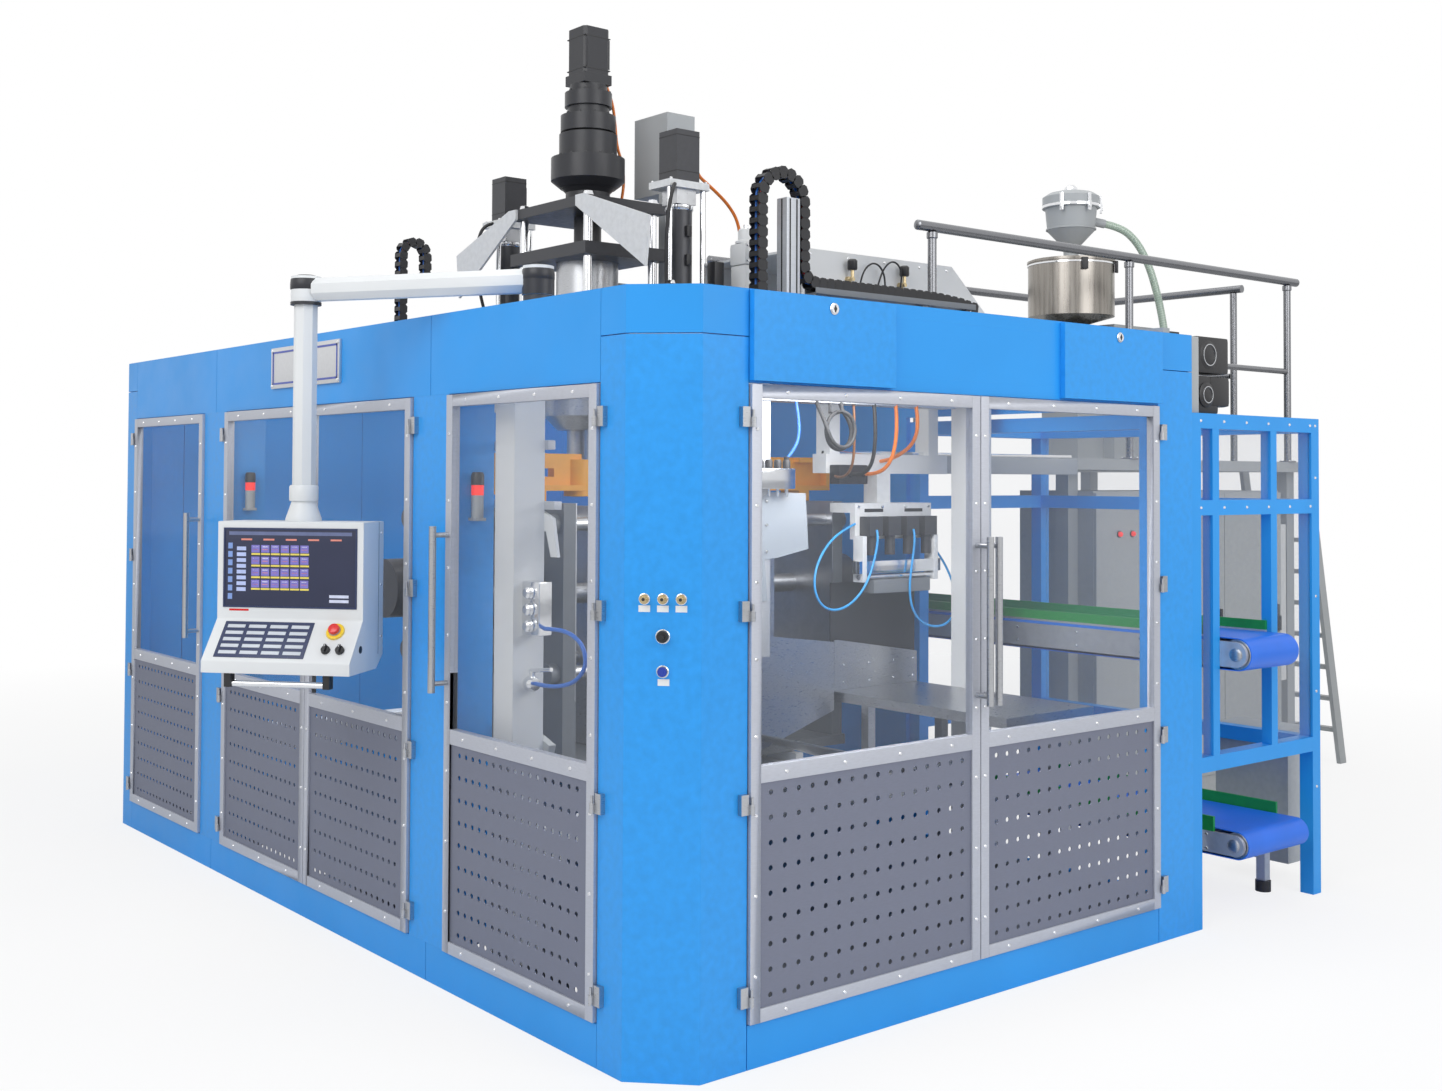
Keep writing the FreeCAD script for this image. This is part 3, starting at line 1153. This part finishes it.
def hopper():
    """Stainless hopper on the feed throat, with its rim and lid."""
    r, x, top = HOPPER_R, HOPPER_X, HOPPER_TOP
    foot, rim = HOPPER_Z - HOPPER_NECK_H, top - HOPPER_RIM_H
    shoulder = foot + HOPPER_NECK_RIM
    body = [(0, foot), (HOPPER_NECK_R, foot), (HOPPER_NECK_R, shoulder), (r, HOPPER_Z)]
    body += [(r, rim), (r + HOPPER_RIM, rim), (r + HOPPER_RIM, top), (0, top)]
    lid = [(0, top), (r - LID_IN, top), (r - LID_IN, top + LID_T), (0, top + LID_H)]
    return [turned(body, x, 0), turned(lid, x, 0)]


def vacuum_loader():
    """Conical loader on the hopper lid, with its hose port."""
    profile = [(r, HOPPER_TOP + LID_H + h) for r, h in LOADER_PROFILE]
    profile = [(0, profile[0][1])] + profile + [(0, profile[-1][1])]
    body = turned(profile, HOPPER_X, 0)
    port = rod(V(HOPPER_X, 0, 0).add(PORT_ROOT), V(HOPPER_X, 0, 0).add(PORT_END), PORT_R)
    return [body.fuse(port)]


def arc_path(points):
    """Straight runs joined by tangent arcs, each as large as its two runs allow."""
    edges = []
    radii = []
    last = points[0]
    for before, at, after in zip(points[:-2], points[1:-1], points[2:]):
        d1 = at.sub(before)
        d2 = after.sub(at)
        cut = 0.45 * min(d1.Length, d2.Length)
        d1 = V(d1).normalize()
        d2 = V(d2).normalize()
        turn = d1.getAngle(d2)
        radii.append(cut / math.tan(turn / 2))
        start = at.sub(V(d1).multiply(cut))
        end = at.add(V(d2).multiply(cut))
        inward = V(d2).sub(d1).normalize()
        middle = at.add(inward.multiply(radii[-1] / math.cos(turn / 2) - radii[-1]))
        edges.append(Part.LineSegment(last, start).toShape())
        edges.append(Part.Arc(start, middle, end).toShape())
        last = end
    edges.append(Part.LineSegment(last, points[-1]).toShape())
    return Part.Wire(edges), radii


def cord(points, radius):
    """Tube along a cord's route."""
    path, radii = arc_path([V(*point) for point in points])
    start = V(*points[0])
    way = V(*points[1]).sub(start)
    ring = Part.Wire(Part.makeCircle(radius, start, way))
    tube = path.makePipeShell([ring], True, False)
    print("cord length %.0f, radii %s" % (path.Length, [round(r) for r in radii]))
    print("volume over section times length %.4f" % (tube.Volume / (math.pi * radius ** 2 * path.Length)))
    return tube


def loader_hose():
    """Suction hose from the loader's port down to the stub on the deck."""
    foot = DECK_Z + HOSE_FOOT
    drop = PORT_END.z - foot
    return [cord([(HOPPER_X + x, y, foot + share * drop) for x, y, share in HOSE_ROUTE], HOSE_R)]


def junction_box():
    """Grey box on a post beside the drive."""
    foot = PORTAL_Z + PORTAL_H + TOP_BEAM_H
    x = HEAD_X + TOP_BEAM_X
    half = JUNCTION_POST / 2
    post = block(x - half, x + half, JUNCTION_Y0, JUNCTION_Y0 + JUNCTION_POST, foot, JUNCTION_Z0)
    box = block(JUNCTION_X0, JUNCTION_X1, JUNCTION_Y0, JUNCTION_Y1, JUNCTION_Z0, JUNCTION_Z1)
    return [post, box]


def chain_run(x, y, z0, z1):
    """Upright run of links between two heights."""
    count = round((z1 - z0) / CHAIN_PITCH)
    step = (z1 - z0) / count
    half = CHAIN_DEEP / 2
    solids = []
    for i in range(count):
        low = z0 + i * step
        solids.append(block(x - half, x + half, y - CHAIN_W / 2, y + CHAIN_W / 2, low, low + step))
    return solids


def chain_bend(x, y, z, radius):
    """Links over the top of a loop, each a wedge that meets the next one face to face."""
    count = round(math.pi * radius / CHAIN_PITCH)
    near, far = radius - CHAIN_DEEP / 2, radius + CHAIN_DEEP / 2
    solids = []
    for i in range(count):
        a = math.pi * i / count
        b = math.pi * (i + 1) / count
        corners = ((near, a), (far, a), (far, b), (near, b))
        outline = [(x - r * math.cos(turn), z + r * math.sin(turn)) for r, turn in corners]
        solids.append(side_prism(outline, y - CHAIN_W / 2, y + CHAIN_W / 2))
    return solids


def chain_loop(x, y, foot, top, radius, free_end):
    """Upright loop of chain links: up on the left, over, and down to the free end."""
    bend = top - radius - CHAIN_DEEP / 2
    solids = chain_run(x - radius, y, foot, bend)
    solids.extend(chain_bend(x, y, bend, radius))
    solids.extend(chain_run(x + radius, y, free_end, bend))
    return solids


def energy_chains():
    """Two upright chain loops on brackets, the guide post, and the chain lying on the cover's tray."""
    foot = PORTAL_Z + PORTAL_H + TOP_BEAM_H + BRACKET_T
    half = CHAIN_W / 2
    x0, x1 = LOOP_X + LOOP_BASE[0], LOOP_X + LOOP_BASE[1]
    y0, y1 = LOOP_Y - BRACKET_HALF, LOOP_Y + BRACKET_HALF
    solids = [block(x0, x1, y0, y1, foot - BRACKET_T, foot)]
    solids.extend(chain_loop(LOOP_X, LOOP_Y, foot, LOOP_TOP, LOOP_R, LOOP_FREE))
    post_x = LOOP_X + LOOP_R + CHAIN_DEEP / 2
    y0, y1, top = LOOP_Y - half, LOOP_Y + half, LOOP_FREE + LOOP_POST_H
    solids.append(block(post_x, post_x + LOOP_POST_T, y0, y1, foot, top))
    foot = PORTAL_Z + PORTAL_H + BRACKET_T
    x0, x1 = LOOP2_X - LOOP2_BASE, LOOP2_X + LOOP2_BASE
    solids.append(block(x0, x1, COLUMN_Y, LOOP2_Y + BRACKET_HALF, foot - BRACKET_T, foot))
    solids.extend(chain_loop(LOOP2_X, LOOP2_Y, foot, LOOP2_TOP, LOOP2_R, LOOP2_TOP - LOOP2_DROP))
    y = -COVER_HALF - TRAY_W / 2
    low = COVER_LOW + TRAY_T
    x = COVER_X0
    while x < COVER_X1 - TRAY_SHORT - CHAIN_PITCH:
        solids.append(block(x, x + CHAIN_PITCH, y - half, y + half, low, low + CHAIN_DEEP))
        x += CHAIN_PITCH
    return solids


# ---------------------------------------------------------------- service platform and cabinets
def service_platform():
    """Deck on legs with the ladder, and the stub that the hose goes down into."""
    solids = [block(DECK_X0, DECK_X1, DECK_Y0, DECK_Y1, DECK_Z - DECK_T, DECK_Z)]
    for x in (DECK_X0, CONTROL_X0 - DECK_LEG, DECK_X1 - DECK_LEG):
        for y in (DECK_Y0 + DECK_LEG, DECK_Y1 - DECK_LEG):
            solids.append(block(x, x + DECK_LEG, y, y + DECK_LEG, 0, DECK_Z - DECK_T))
    solids.extend(ladder())
    x, y, _ = HOSE_ROUTE[-1]
    solids.append(disc(HOPPER_X + x, y, DECK_Z, DECK_Z + HOSE_FOOT - SLIDE_FIT, HOSE_R + HOSE_STUB))
    return solids


def ladder():
    """Two inclined stiles with treads."""
    solids = []
    top, foot = DECK_X1, LADDER_X
    deep = STILE_DEEP
    outline = [(top, DECK_Z), (foot - deep, 0), (foot, 0), (top + deep, DECK_Z)]
    y0, y1 = LADDER_Y0, LADDER_Y0 + LADDER_W
    for y in (y0, y1 - TREAD_T):
        solids.append(side_prism(outline, y, y + TREAD_T))
    slope = (foot - deep - top) / DECK_Z
    count = int(DECK_Z / TREAD_STEP)
    for i in range(1, count):
        z = i * TREAD_STEP
        x = foot - deep - slope * z
        a, b = x + TREAD_IN, x + deep - TREAD_IN
        solids.append(block(a, b, y0 + TREAD_T, y1 - TREAD_T, z, z + TREAD_T))
    return solids


def railing():
    """Tube handrails round the deck."""
    solids = []
    y0, y1 = DECK_Y0 + RAIL_IN, DECK_Y1 - RAIL_IN
    top = RAIL_TOP_Z
    under = top - RAIL_HAND_R
    r = RAIL_TUBE_R
    for y in (y0, y1):
        for x in RAIL_POSTS_X:
            solids.append(rod(V(x, y, DECK_Z), V(x, y, under), r))
        x0, x1 = RAIL_POSTS_X[0] - RAIL_OVER, RAIL_POSTS_X[-1] + RAIL_OVER
        solids.append(rod(V(x0, y, top), V(x1, y, top), RAIL_HAND_R))
        for a, b in zip(RAIL_POSTS_X[:-1], RAIL_POSTS_X[1:]):
            solids.append(rod(V(a + r, y, RAIL_MID_Z), V(b - r, y, RAIL_MID_Z), RAIL_MID_R))
    x = DECK_X1 - RAIL_IN - RAIL_SIDE_IN
    near, far = RAIL_SIDE_Y, y1 - RAIL_HAND_R
    solids.append(rod(V(x, near, DECK_Z), V(x, near, under), r))
    solids.append(rod(V(x, near - RAIL_SIDE_OVER, top), V(x, far, top), RAIL_HAND_R))
    solids.append(rod(V(x, near + r, RAIL_MID_Z), V(x, far, RAIL_MID_Z), RAIL_MID_R))
    solids.append(rod(V(x, far, DECK_Z), V(x, far, RAIL_MID_Z - r), r))
    return solids


def control_cabinet():
    """Control cabinet under the deck with its cooler and sockets, and the terminal box on the annex."""
    y0 = CONTROL_Y0
    y1 = y0 + CONTROL_DEEP
    x0, x1 = CONTROL_X0, CONTROL_X1
    third = (x1 - x0) / 3
    gap, edge = CONTROL_DOOR_GAP, CONTROL_DOOR_IN
    solids = [block(x0, x1, y0, y1, 0, CONTROL_PLINTH)]
    for i in range(3):
        a, b = x0 + i * third + gap, x0 + (i + 1) * third - gap
        solids.append(block(a, b, y0 - CONTROL_DOOR_T, y0, CONTROL_PLINTH + edge, CONTROL_H - edge))
    solids.append(block(x0, x1, y0, y1, CONTROL_PLINTH, CONTROL_H))
    deep, near, far, low, high = COOLER
    solids.append(block(x1, x1 + deep, y0 + near, y0 + far, low, high))
    y = y1 - SOCKET_IN
    for z in SOCKET_Z:
        solids.append(rod(V(x1, y, z), V(x1 + SOCKET_LEN, y, z), SOCKET_R))
    tx, (near, far) = ANNEX_X1, TERMINAL_Y
    solids.append(block(tx, tx + TERMINAL_DEEP, FACE_FRONT + near, FACE_FRONT + far, *TERMINAL_Z))
    return solids


# ---------------------------------------------------------------- annex, conveyors and chutes
def annex_frame():
    """Square-tube frame of the annex."""
    x0, x1 = FACE_RIGHT, ANNEX_X1
    y0, y1 = FACE_FRONT, ANNEX_Y1
    b = ANNEX_BAR
    h = ANNEX_H
    solids = []
    for x in (x0, x1 - b):
        for y in (y0, y1 - b):
            solids.append(block(x, x + b, y, y + b, 0, h))
    levels = list(ANNEX_RAILS) + [h - b]
    for z in levels:
        for y in (y0, y1 - b):
            solids.append(block(x0 + b, x1 - b, y, y + b, z, z + b))
        solids.append(block(x1 - b, x1, y0 + b, y1 - b, z, z + b))
    solids.append(block(x0, x0 + b, y0 + b, y1 - b, h - b, h))
    for z0, z1 in annex_bays():
        for x in ANNEX_MULLIONS:
            solids.append(block(x, x + MULLION_W, y0, y0 + MULLION_W, z0, z1))
    return solids


def annex_bays():
    """Height ranges between the annex rails."""
    b = ANNEX_BAR
    low, mid = ANNEX_RAILS
    return ((low + b, mid), (mid + b, ANNEX_H - b))


def annex_windows():
    """Clear panes of the annex; the bay that the take-off conveyor passes is open."""
    y0 = FACE_FRONT
    b = ANNEX_BAR
    edges = [FACE_RIGHT + b]
    for x in ANNEX_MULLIONS:
        edges.extend((x, x + MULLION_W))
    edges.append(ANNEX_X1 - b)
    spans = list(zip(edges[::2], edges[1::2]))
    solids = []
    for row, (z0, z1) in enumerate(annex_bays()):
        for i, (a, c) in enumerate(spans):
            if row == 0 and i == 1:
                continue
            if c - a > ANNEX_LEAST:
                front = y0 + ANNEX_PANE_IN
                solids.append(block(a, c, front, front + PANE_T, z0, z1))
        side = ANNEX_X1 - ANNEX_SIDE_IN
        solids.append(block(side - PANE_T, side, y0 + b, ANNEX_Y1 - b, z0, z1))
    return solids


def belt_loop(x0, width, y0, y1, top, radius):
    """Endless belt round two end rollers."""
    zc = top - BELT_T - radius

    def loop(r):
        a, b = y0 + BELT_T + radius, y1 - BELT_T - radius
        pts = [V(x0, a, zc + r), V(x0, b, zc + r), V(x0, b + r, zc)]
        pts.extend([V(x0, b, zc - r), V(x0, a, zc - r), V(x0, a - r, zc)])
        edges = [
            Part.LineSegment(pts[0], pts[1]).toShape(),
            Part.Arc(pts[1], pts[2], pts[3]).toShape(),
            Part.LineSegment(pts[3], pts[4]).toShape(),
            Part.Arc(pts[4], pts[5], pts[0]).toShape(),
        ]
        return Part.Face(Part.Wire(edges))

    outer = loop(radius + BELT_T)
    inner = loop(radius)
    return outer.cut(inner).extrude(V(width, 0, 0))


def conveyor_belts():
    """The take-off belt and the scrap belt."""
    return [
        belt_loop(CONV_X0, CONV_W, CONV_Y0, CONV_Y1, CONV_TOP, CONV_ROLL_R + ROLL_FIT),
        belt_loop(SCRAP_X0, SCRAP_W, SCRAP_Y0, SCRAP_Y1, SCRAP_TOP, SCRAP_ROLL_R + ROLL_FIT),
    ]


def roller(x0, width, y0, top, radius):
    """Front end roller with its journals in the side plates."""
    zc = top - BELT_T - ROLL_FIT - radius
    yc = y0 + BELT_T + ROLL_FIT + radius
    drum = rod(V(x0 + ROLLER_END, yc, zc), V(x0 + width - ROLLER_END, yc, zc), radius)
    shaft = rod(V(x0 - CONV_SIDE_T, yc, zc), V(x0 + width + CONV_SIDE_T, yc, zc), JOURNAL_R)
    return [drum.fuse(shaft)]


def conveyor_side(x, y0, y1, top, radius, high):
    """Side plate with the journal's bore; its end is rounded about the roller."""
    zc = top - BELT_T - ROLL_FIT - radius
    yc = y0 + BELT_T + ROLL_FIT + radius
    plate = block(x, x + CONV_SIDE_T, yc, y1, zc - high, zc + high)
    nose = rod(V(x, yc, zc), V(x + CONV_SIDE_T, yc, zc), high)
    bore = rod(V(x - 1, yc, zc), V(x + CONV_SIDE_T + 1, yc, zc), JOURNAL_R + HINGE_FIT)
    return plate.fuse(nose).cut(bore)


def conveyor_frames():
    """Side plates, guides, rear rollers, legs and feet of the two conveyors."""
    solids = []
    rows = (
        (CONV_X0, CONV_W, CONV_Y0, CONV_Y1, CONV_TOP, CONV_ROLL_R, CONV_HIGH, CONV_LEGS_Y),
        (SCRAP_X0, SCRAP_W, SCRAP_Y0, SCRAP_Y1, SCRAP_TOP, SCRAP_ROLL_R, SCRAP_HIGH, SCRAP_LEGS_Y),
    )
    for x0, width, y0, y1, top, radius, high, legs in rows:
        zc = top - BELT_T - ROLL_FIT - radius
        end = y1 - radius
        x1 = x0 + width
        for x in (x0 - CONV_SIDE_T, x1):
            solids.append(conveyor_side(x, y0, end, top, radius, high))
            side = x if x < x0 else x1 + CONV_SIDE_T - GUIDE_T
            solids.append(block(side, side + GUIDE_T, y0 + GUIDE_IN, end, zc + high, top + GUIDE_H))
        yr = y1 - BELT_T - ROLL_FIT - radius
        solids.append(rod(V(x0, yr, zc), V(x1, yr, zc), radius))
        for y in legs:
            for x in (x0 - CONV_SIDE_T - LEG_W, x1 + CONV_SIDE_T):
                solids.append(block(x, x + LEG_W, y, y + LEG_W, FOOT_H, zc + high - LEG_DROP))
                solids.append(disc(x + LEG_W / 2, y + LEG_W / 2, 0, FOOT_H, FOOT_R))
    return solids


def chutes():
    """Table by the front doors on its legs, and the sloped sheets under the clamps."""
    behind = -COLUMN_Y + COLUMN / 2
    floor = BASE_H + PAN_T
    solids = [block(TABLE_X0, TABLE_X1, TABLE_Y0, TABLE_Y1, TABLE_Z - TABLE_T, TABLE_Z)]
    for x in (TABLE_X0 + TABLE_LEG_X, TABLE_X1 - TABLE_LEG_X - LEG_W):
        for y in (TABLE_Y0 + TABLE_LEG_IN, behind):
            solids.append(block(x, x + LEG_W, y, y + LEG_W, floor, TABLE_Z - TABLE_T))
    x0, x1 = TABLE_X0 - CHUTE_LEN, TABLE_X0 - CHUTE_GAP
    low, high = TABLE_Z - CHUTE_LOW, TABLE_Z - CHUTE_HIGH
    y0, y1 = TABLE_Y0 + CHUTE_Y[0], TABLE_Y1 - CHUTE_Y[1]
    fall = (high - low) / (x1 - x0)
    outline = [(x0, high), (x1, low), (x1, low + CHUTE_T), (x0, high + CHUTE_T)]
    solids.append(side_prism(outline, y0, y1))
    for a in (x0, x1 - LEG_W):
        b = a + LEG_W
        foot = [(a, floor), (b, floor), (b, high - fall * (b - x0)), (a, high - fall * (a - x0))]
        for y in (y0, behind):
            solids.append(side_prism(foot, y, y + LEG_W))
    return solids


def takeout_gripper():
    """Take-out slide: a beam end with the white plate and its grippers."""
    x, y, z = TAKE_X, TAKE_Y, TAKE_Z
    x0, x1, top = x - TAKE_PLATE_X, x + TAKE_PLATE_X, z + TAKE_PLATE_Z
    back = y + TAKE_PLATE_T
    solids = [
        block(x0, x1, y, back, z - TAKE_PLATE_Z, top),
        block(x0, x1, back, y + TAKE_SHELF_Y, top - TAKE_SHELF_T, top),
    ]
    low, high = z + GRIPPER_Z[0], z + GRIPPER_Z[1]
    half = GRIPPER_DEEP / 2
    for i in range(GRIPPERS):
        px = x + (i - (GRIPPERS - 1) / 2) * GRIPPER_STEP
        solids.append(column(px, y - half, GRIPPER_HALF, half, low, high))
        solids.append(disc(px, y - half, low - CUP_LEN, low, CUP_R))
    y0, y1 = y + TAKE_BEAM_Y[0], y + TAKE_BEAM_Y[1]
    post = TAKE_POST_HALF
    solids.append(block(x - post, x + post, y0, y1, top, TAKE_BEAM_Z - SLIDE_FIT))
    return solids


def blower():
    """Two stacked cooling blowers beside the fascia, on the annex roof."""
    x0, y0, z0 = FACE_RIGHT, BLOWER_Y, ANNEX_H
    back, wide, tall = BLOWER_BACK
    deep, body_wide, body_tall = BLOWER_BODY
    solids = [block(x0, x0 + back, y0, y0 + wide, z0, z0 + tall)]
    near, far = x0 + back, x0 + back + deep
    middle = y0 + BLOWER_IN + body_wide / 2
    for z in (z0 + BLOWER_IN, z0 + BLOWER_IN + BLOWER_STEP):
        y = y0 + BLOWER_IN
        solids.append(block(near, far, y, y + body_wide, z, z + body_tall))
        fan = z + body_tall / 2
        solids.append(rod(V(far, middle, fan), V(far + FAN_LEN, middle, fan), FAN_R))
    return solids


# ---------------------------------------------------------------- operator panel
def panel_place(solid):
    """Turn a piece made facing -Y about the drop tube into its place."""
    solid.rotate(V(0, 0, 0), Z_AXIS, PANEL_ANGLE - 270)
    solid.translate(V(ELBOW.x, ELBOW.y, 0))
    return solid


def hmi_arm():
    """Pivot hub, octagonal arm, elbow cap and drop tube."""
    flats = ARM_FLATS / 2
    corner = flats / math.cos(math.pi / 8)
    turns = [math.pi / 8 + i * math.pi / 4 for i in range(8)]
    ring = [V(0, corner * math.cos(a), ARM_Z + corner * math.sin(a)) for a in turns]
    beam = Part.Face(Part.makePolygon(ring + ring[:1])).extrude(V(ARM_REACH - ARM_SOCKET, 0, 0))
    low = ARM_Z - flats - BEARING_GAP + SLIDE_FIT
    hub = disc(0, 0, low, ARM_Z + flats + HUB_RISE, ARM_CAP_R)
    drop_top = ARM_Z - flats - ELBOW_RISE
    elbow = disc(ARM_REACH, 0, drop_top, ARM_Z + flats + ELBOW_RISE, ARM_CAP_R)
    slim = DROP_SLIM * corner
    ring = [V(ARM_REACH + slim * math.cos(a), slim * math.sin(a), DROP_LOW) for a in turns]
    drop = Part.Face(Part.makePolygon(ring + ring[:1])).extrude(V(0, 0, drop_top - DROP_LOW))
    pieces = [hub, beam.cut(hub).cut(elbow), elbow, drop]
    for piece in pieces:
        piece.rotate(V(0, 0, 0), Z_AXIS, ARM_ANGLE)
        piece.translate(ARM_PIVOT)
    return pieces


def slope_frame(across, down):
    """Point and outward normal on the console slope; down runs from the knee towards the lip."""
    run = V(0, PANEL_FACE - CONSOLE_OUT, CONSOLE_Z - PANEL_KNEE)
    way = V(run).normalize()
    normal = V(0, way.z, -way.y)
    point = V(across, -PANEL_FACE, PANEL_KNEE).add(V(way).multiply(down))
    return point, normal


def hmi_housing():
    """Housing with its sloped console, flanged neck, and the bores of the push button and knobs."""
    half = PANEL_W / 2
    outline = [
        (PANEL_BACK, PANEL_LOW + PANEL_CUT[0]),
        (PANEL_BACK, PANEL_TOP),
        (-PANEL_FACE, PANEL_TOP),
        (-PANEL_FACE, PANEL_KNEE),
        (-CONSOLE_OUT, CONSOLE_Z),
        (-CONSOLE_OUT, PANEL_LOW),
        (PANEL_BACK - PANEL_CUT[1], PANEL_LOW),
    ]
    ring = [V(-half, y, z) for y, z in outline]
    body = Part.Face(Part.makePolygon(ring + ring[:1])).extrude(V(PANEL_W, 0, 0))
    recess = Part.makeBox(SCREEN_W, SCREEN_T, SCREEN_H, V(-SCREEN_W / 2, -PANEL_FACE, SCREEN_LOW))
    body = body.cut(recess)
    point, normal = slope_frame(*ESTOP_AT)
    low, high = -ESTOP_BORE, ESTOP_COLLAR_T + LAP
    bore = rod(along(point, normal, low), along(point, normal, high), ESTOP_STEM_R + SLIDE_FIT)
    body = body.cut(bore)
    neck_top = DROP_LOW - SLIDE_FIT
    neck = [
        (0, PANEL_TOP), (NECK_FLANGE_R, PANEL_TOP), (NECK_FLANGE_R, PANEL_TOP + NECK_RIM),
        (NECK_R + NECK_RIM, neck_top - NECK_RIM), (NECK_R + NECK_RIM, neck_top), (0, neck_top),
    ]
    neck = turned(neck, 0, 0)
    collar = rod(point, along(point, normal, ESTOP_COLLAR_T), ESTOP_COLLAR_R).cut(bore)
    y, z = GRIP_Y - CONSOLE_OUT, PANEL_LOW - GRIP_DROP
    solids = [body.fuse(neck), collar, rod(V(-GRIP_HALF, y, z), V(GRIP_HALF, y, z), GRIP_R)]
    for sx in (-1, 1):
        half_x, half_y = GRIP_END
        solids.append(column(sx * (GRIP_HALF + half_x), y, half_x, half_y, z - GRIP_R, PANEL_LOW))
    return [panel_place(solid) for solid in solids]


def hmi_screen():
    """Flat screen in its recess."""
    pane = Part.makeBox(SCREEN_W, SCREEN_T, SCREEN_H, V(-SCREEN_W / 2, -PANEL_FACE, SCREEN_LOW))
    return [panel_place(pane)]


def estop_button():
    """Mushroom button with its stem in the console."""
    point, normal = slope_frame(*ESTOP_AT)
    low, high = ESTOP_OUT
    stem = rod(along(point, normal, -ESTOP_IN), along(point, normal, low + LAP), ESTOP_STEM_R)
    cap = rod(along(point, normal, low), along(point, normal, high), ESTOP_R)
    return [panel_place(stem.fuse(cap))]


def selector(across):
    """Selector knob on the console."""
    point, normal = slope_frame(across, SELECTOR_DOWN)
    base = rod(along(point, normal, SLIDE_FIT), along(point, normal, KNOB_H), KNOB_R)
    across, length, high = KNOB_GRIP
    grip = Part.makeBox(across, length, high, V(-across / 2, -length / 2, KNOB_H - LAP))
    grip.rotate(V(0, 0, 0), X_AXIS, math.degrees(math.atan2(-normal.y, normal.z)))
    grip.translate(point)
    return [panel_place(base.fuse(grip))]


# ---------------------------------------------------------------- fittings on the corner chamfer
def chamfer_point(across, z, out):
    """Point on the near corner's chamfer; across runs to the right, out is in front of it."""
    middle = V(FACE_OPERATOR + CHAMFER / 2, FACE_FRONT + CHAMFER / 2, z)
    return middle.add(V(CHAMFER_WAY).multiply(across)).add(V(CHAMFER_OUT).multiply(out))


def panel_couplings():
    """Three round couplings in a row."""
    solids = []
    for i in (-1, 0, 1):
        x = i * COUPLING_STEP
        root, middle, end = (chamfer_point(x, COUPLING_Z, out) for out in (0, *COUPLING_OUT))
        body = rod(root, middle, COUPLING_R[0])
        nose = rod(middle, end, COUPLING_R[1])
        solids.append(body.fuse(nose))
    return solids


def key_switch():
    """Turning switch with its stem in the post."""
    z = SWITCH_Z
    stem = rod(chamfer_point(0, z, -FITTING_STEM_IN), chamfer_point(0, z, LAP), FITTING_STEM_R)
    face, end = SWITCH_OUT
    head = rod(chamfer_point(0, z, SLIDE_FIT), chamfer_point(0, z, face), SWITCH_R[0])
    key = rod(chamfer_point(0, z, face - LAP), chamfer_point(0, z, end), SWITCH_R[1])
    return [stem.fuse([head, key])]


def blue_button():
    """Push button with its stem in the post."""
    z = BUTTON_Z
    low, high = BUTTON_OUT
    stem = rod(chamfer_point(0, z, -FITTING_STEM_IN), chamfer_point(0, z, low + LAP), FITTING_STEM_R)
    cap = rod(chamfer_point(0, z, low), chamfer_point(0, z, high), BUTTON_R)
    return [stem.fuse(cap)]


def fitting_bores():
    """Bores in the near corner post for the switch and the button."""
    radius = FITTING_STEM_R + SLIDE_FIT
    bores = []
    for z in (SWITCH_Z, BUTTON_Z):
        bores.append(rod(chamfer_point(0, z, -SHEET - BORE_OVER), chamfer_point(0, z, BORE_OVER), radius))
    return bores


# ---------------------------------------------------------------- the machine
def main():
    export("base_frame", base_frame())
    export("guard_frame", guard_frame())
    export("fascia_panels", fascia_panels())
    export("skirt_panels", skirt_panels())
    export("hinge_leaves", hinge_leaves())
    for name, side, hinge, free, handle_z in DOORS:
        export(name, door_frame(side, hinge, free, handle_z))
        export(name.replace("door", "window"), door_window(side, hinge, free))
    export("hatch_left", hatch(HATCH_LEFT_X, HATCH_LEFT_W))
    export("hatch_right", hatch(HATCH_RIGHT_X, HATCH_RIGHT_W))
    export("press_frame", press_frame())
    export("carriage_front", carriage(-STATION))
    export("carriage_rear", carriage(0.0))
    export("platen_front_left", platen(-STATION, -1))
    export("platen_front_right", platen(-STATION, 1))
    export("platen_rear_left", platen(0.0, -1))
    export("platen_rear_right", platen(0.0, 1))
    export("column_stand", column_stand())
    export("parison_drive", parison_drive())
    export("extrusion_head", extrusion_head())
    export("blow_units", blow_units())
    export("blow_pin_front", blow_pin(-1))
    export("blow_pin_rear", blow_pin(1))
    export("extruder", extruder())
    export("extruder_cover", extruder_cover())
    export("hopper", hopper())
    export("vacuum_loader", vacuum_loader())
    export("loader_hose", loader_hose())
    export("junction_box", junction_box())
    export("energy_chains", energy_chains())
    export("service_platform", service_platform())
    export("railing", railing())
    export("control_cabinet", control_cabinet())
    export("annex_frame", annex_frame())
    export("annex_windows", annex_windows())
    export("conveyor_frames", conveyor_frames())
    export("conveyor_belts", conveyor_belts())
    export("takeoff_roller", roller(CONV_X0, CONV_W, CONV_Y0, CONV_TOP, CONV_ROLL_R))
    export("scrap_roller", roller(SCRAP_X0, SCRAP_W, SCRAP_Y0, SCRAP_TOP, SCRAP_ROLL_R))
    export("chutes", chutes())
    export("takeout_gripper", takeout_gripper())
    export("blower", blower())
    export("hmi_arm", hmi_arm())
    export("hmi_housing", hmi_housing())
    export("hmi_screen", hmi_screen())
    export("estop_button", estop_button())
    export("selector_left", selector(SELECTOR_LEFT))
    export("selector_right", selector(SELECTOR_RIGHT))
    export("panel_couplings", panel_couplings())
    export("key_switch", key_switch())
    export("blue_button", blue_button())


main()
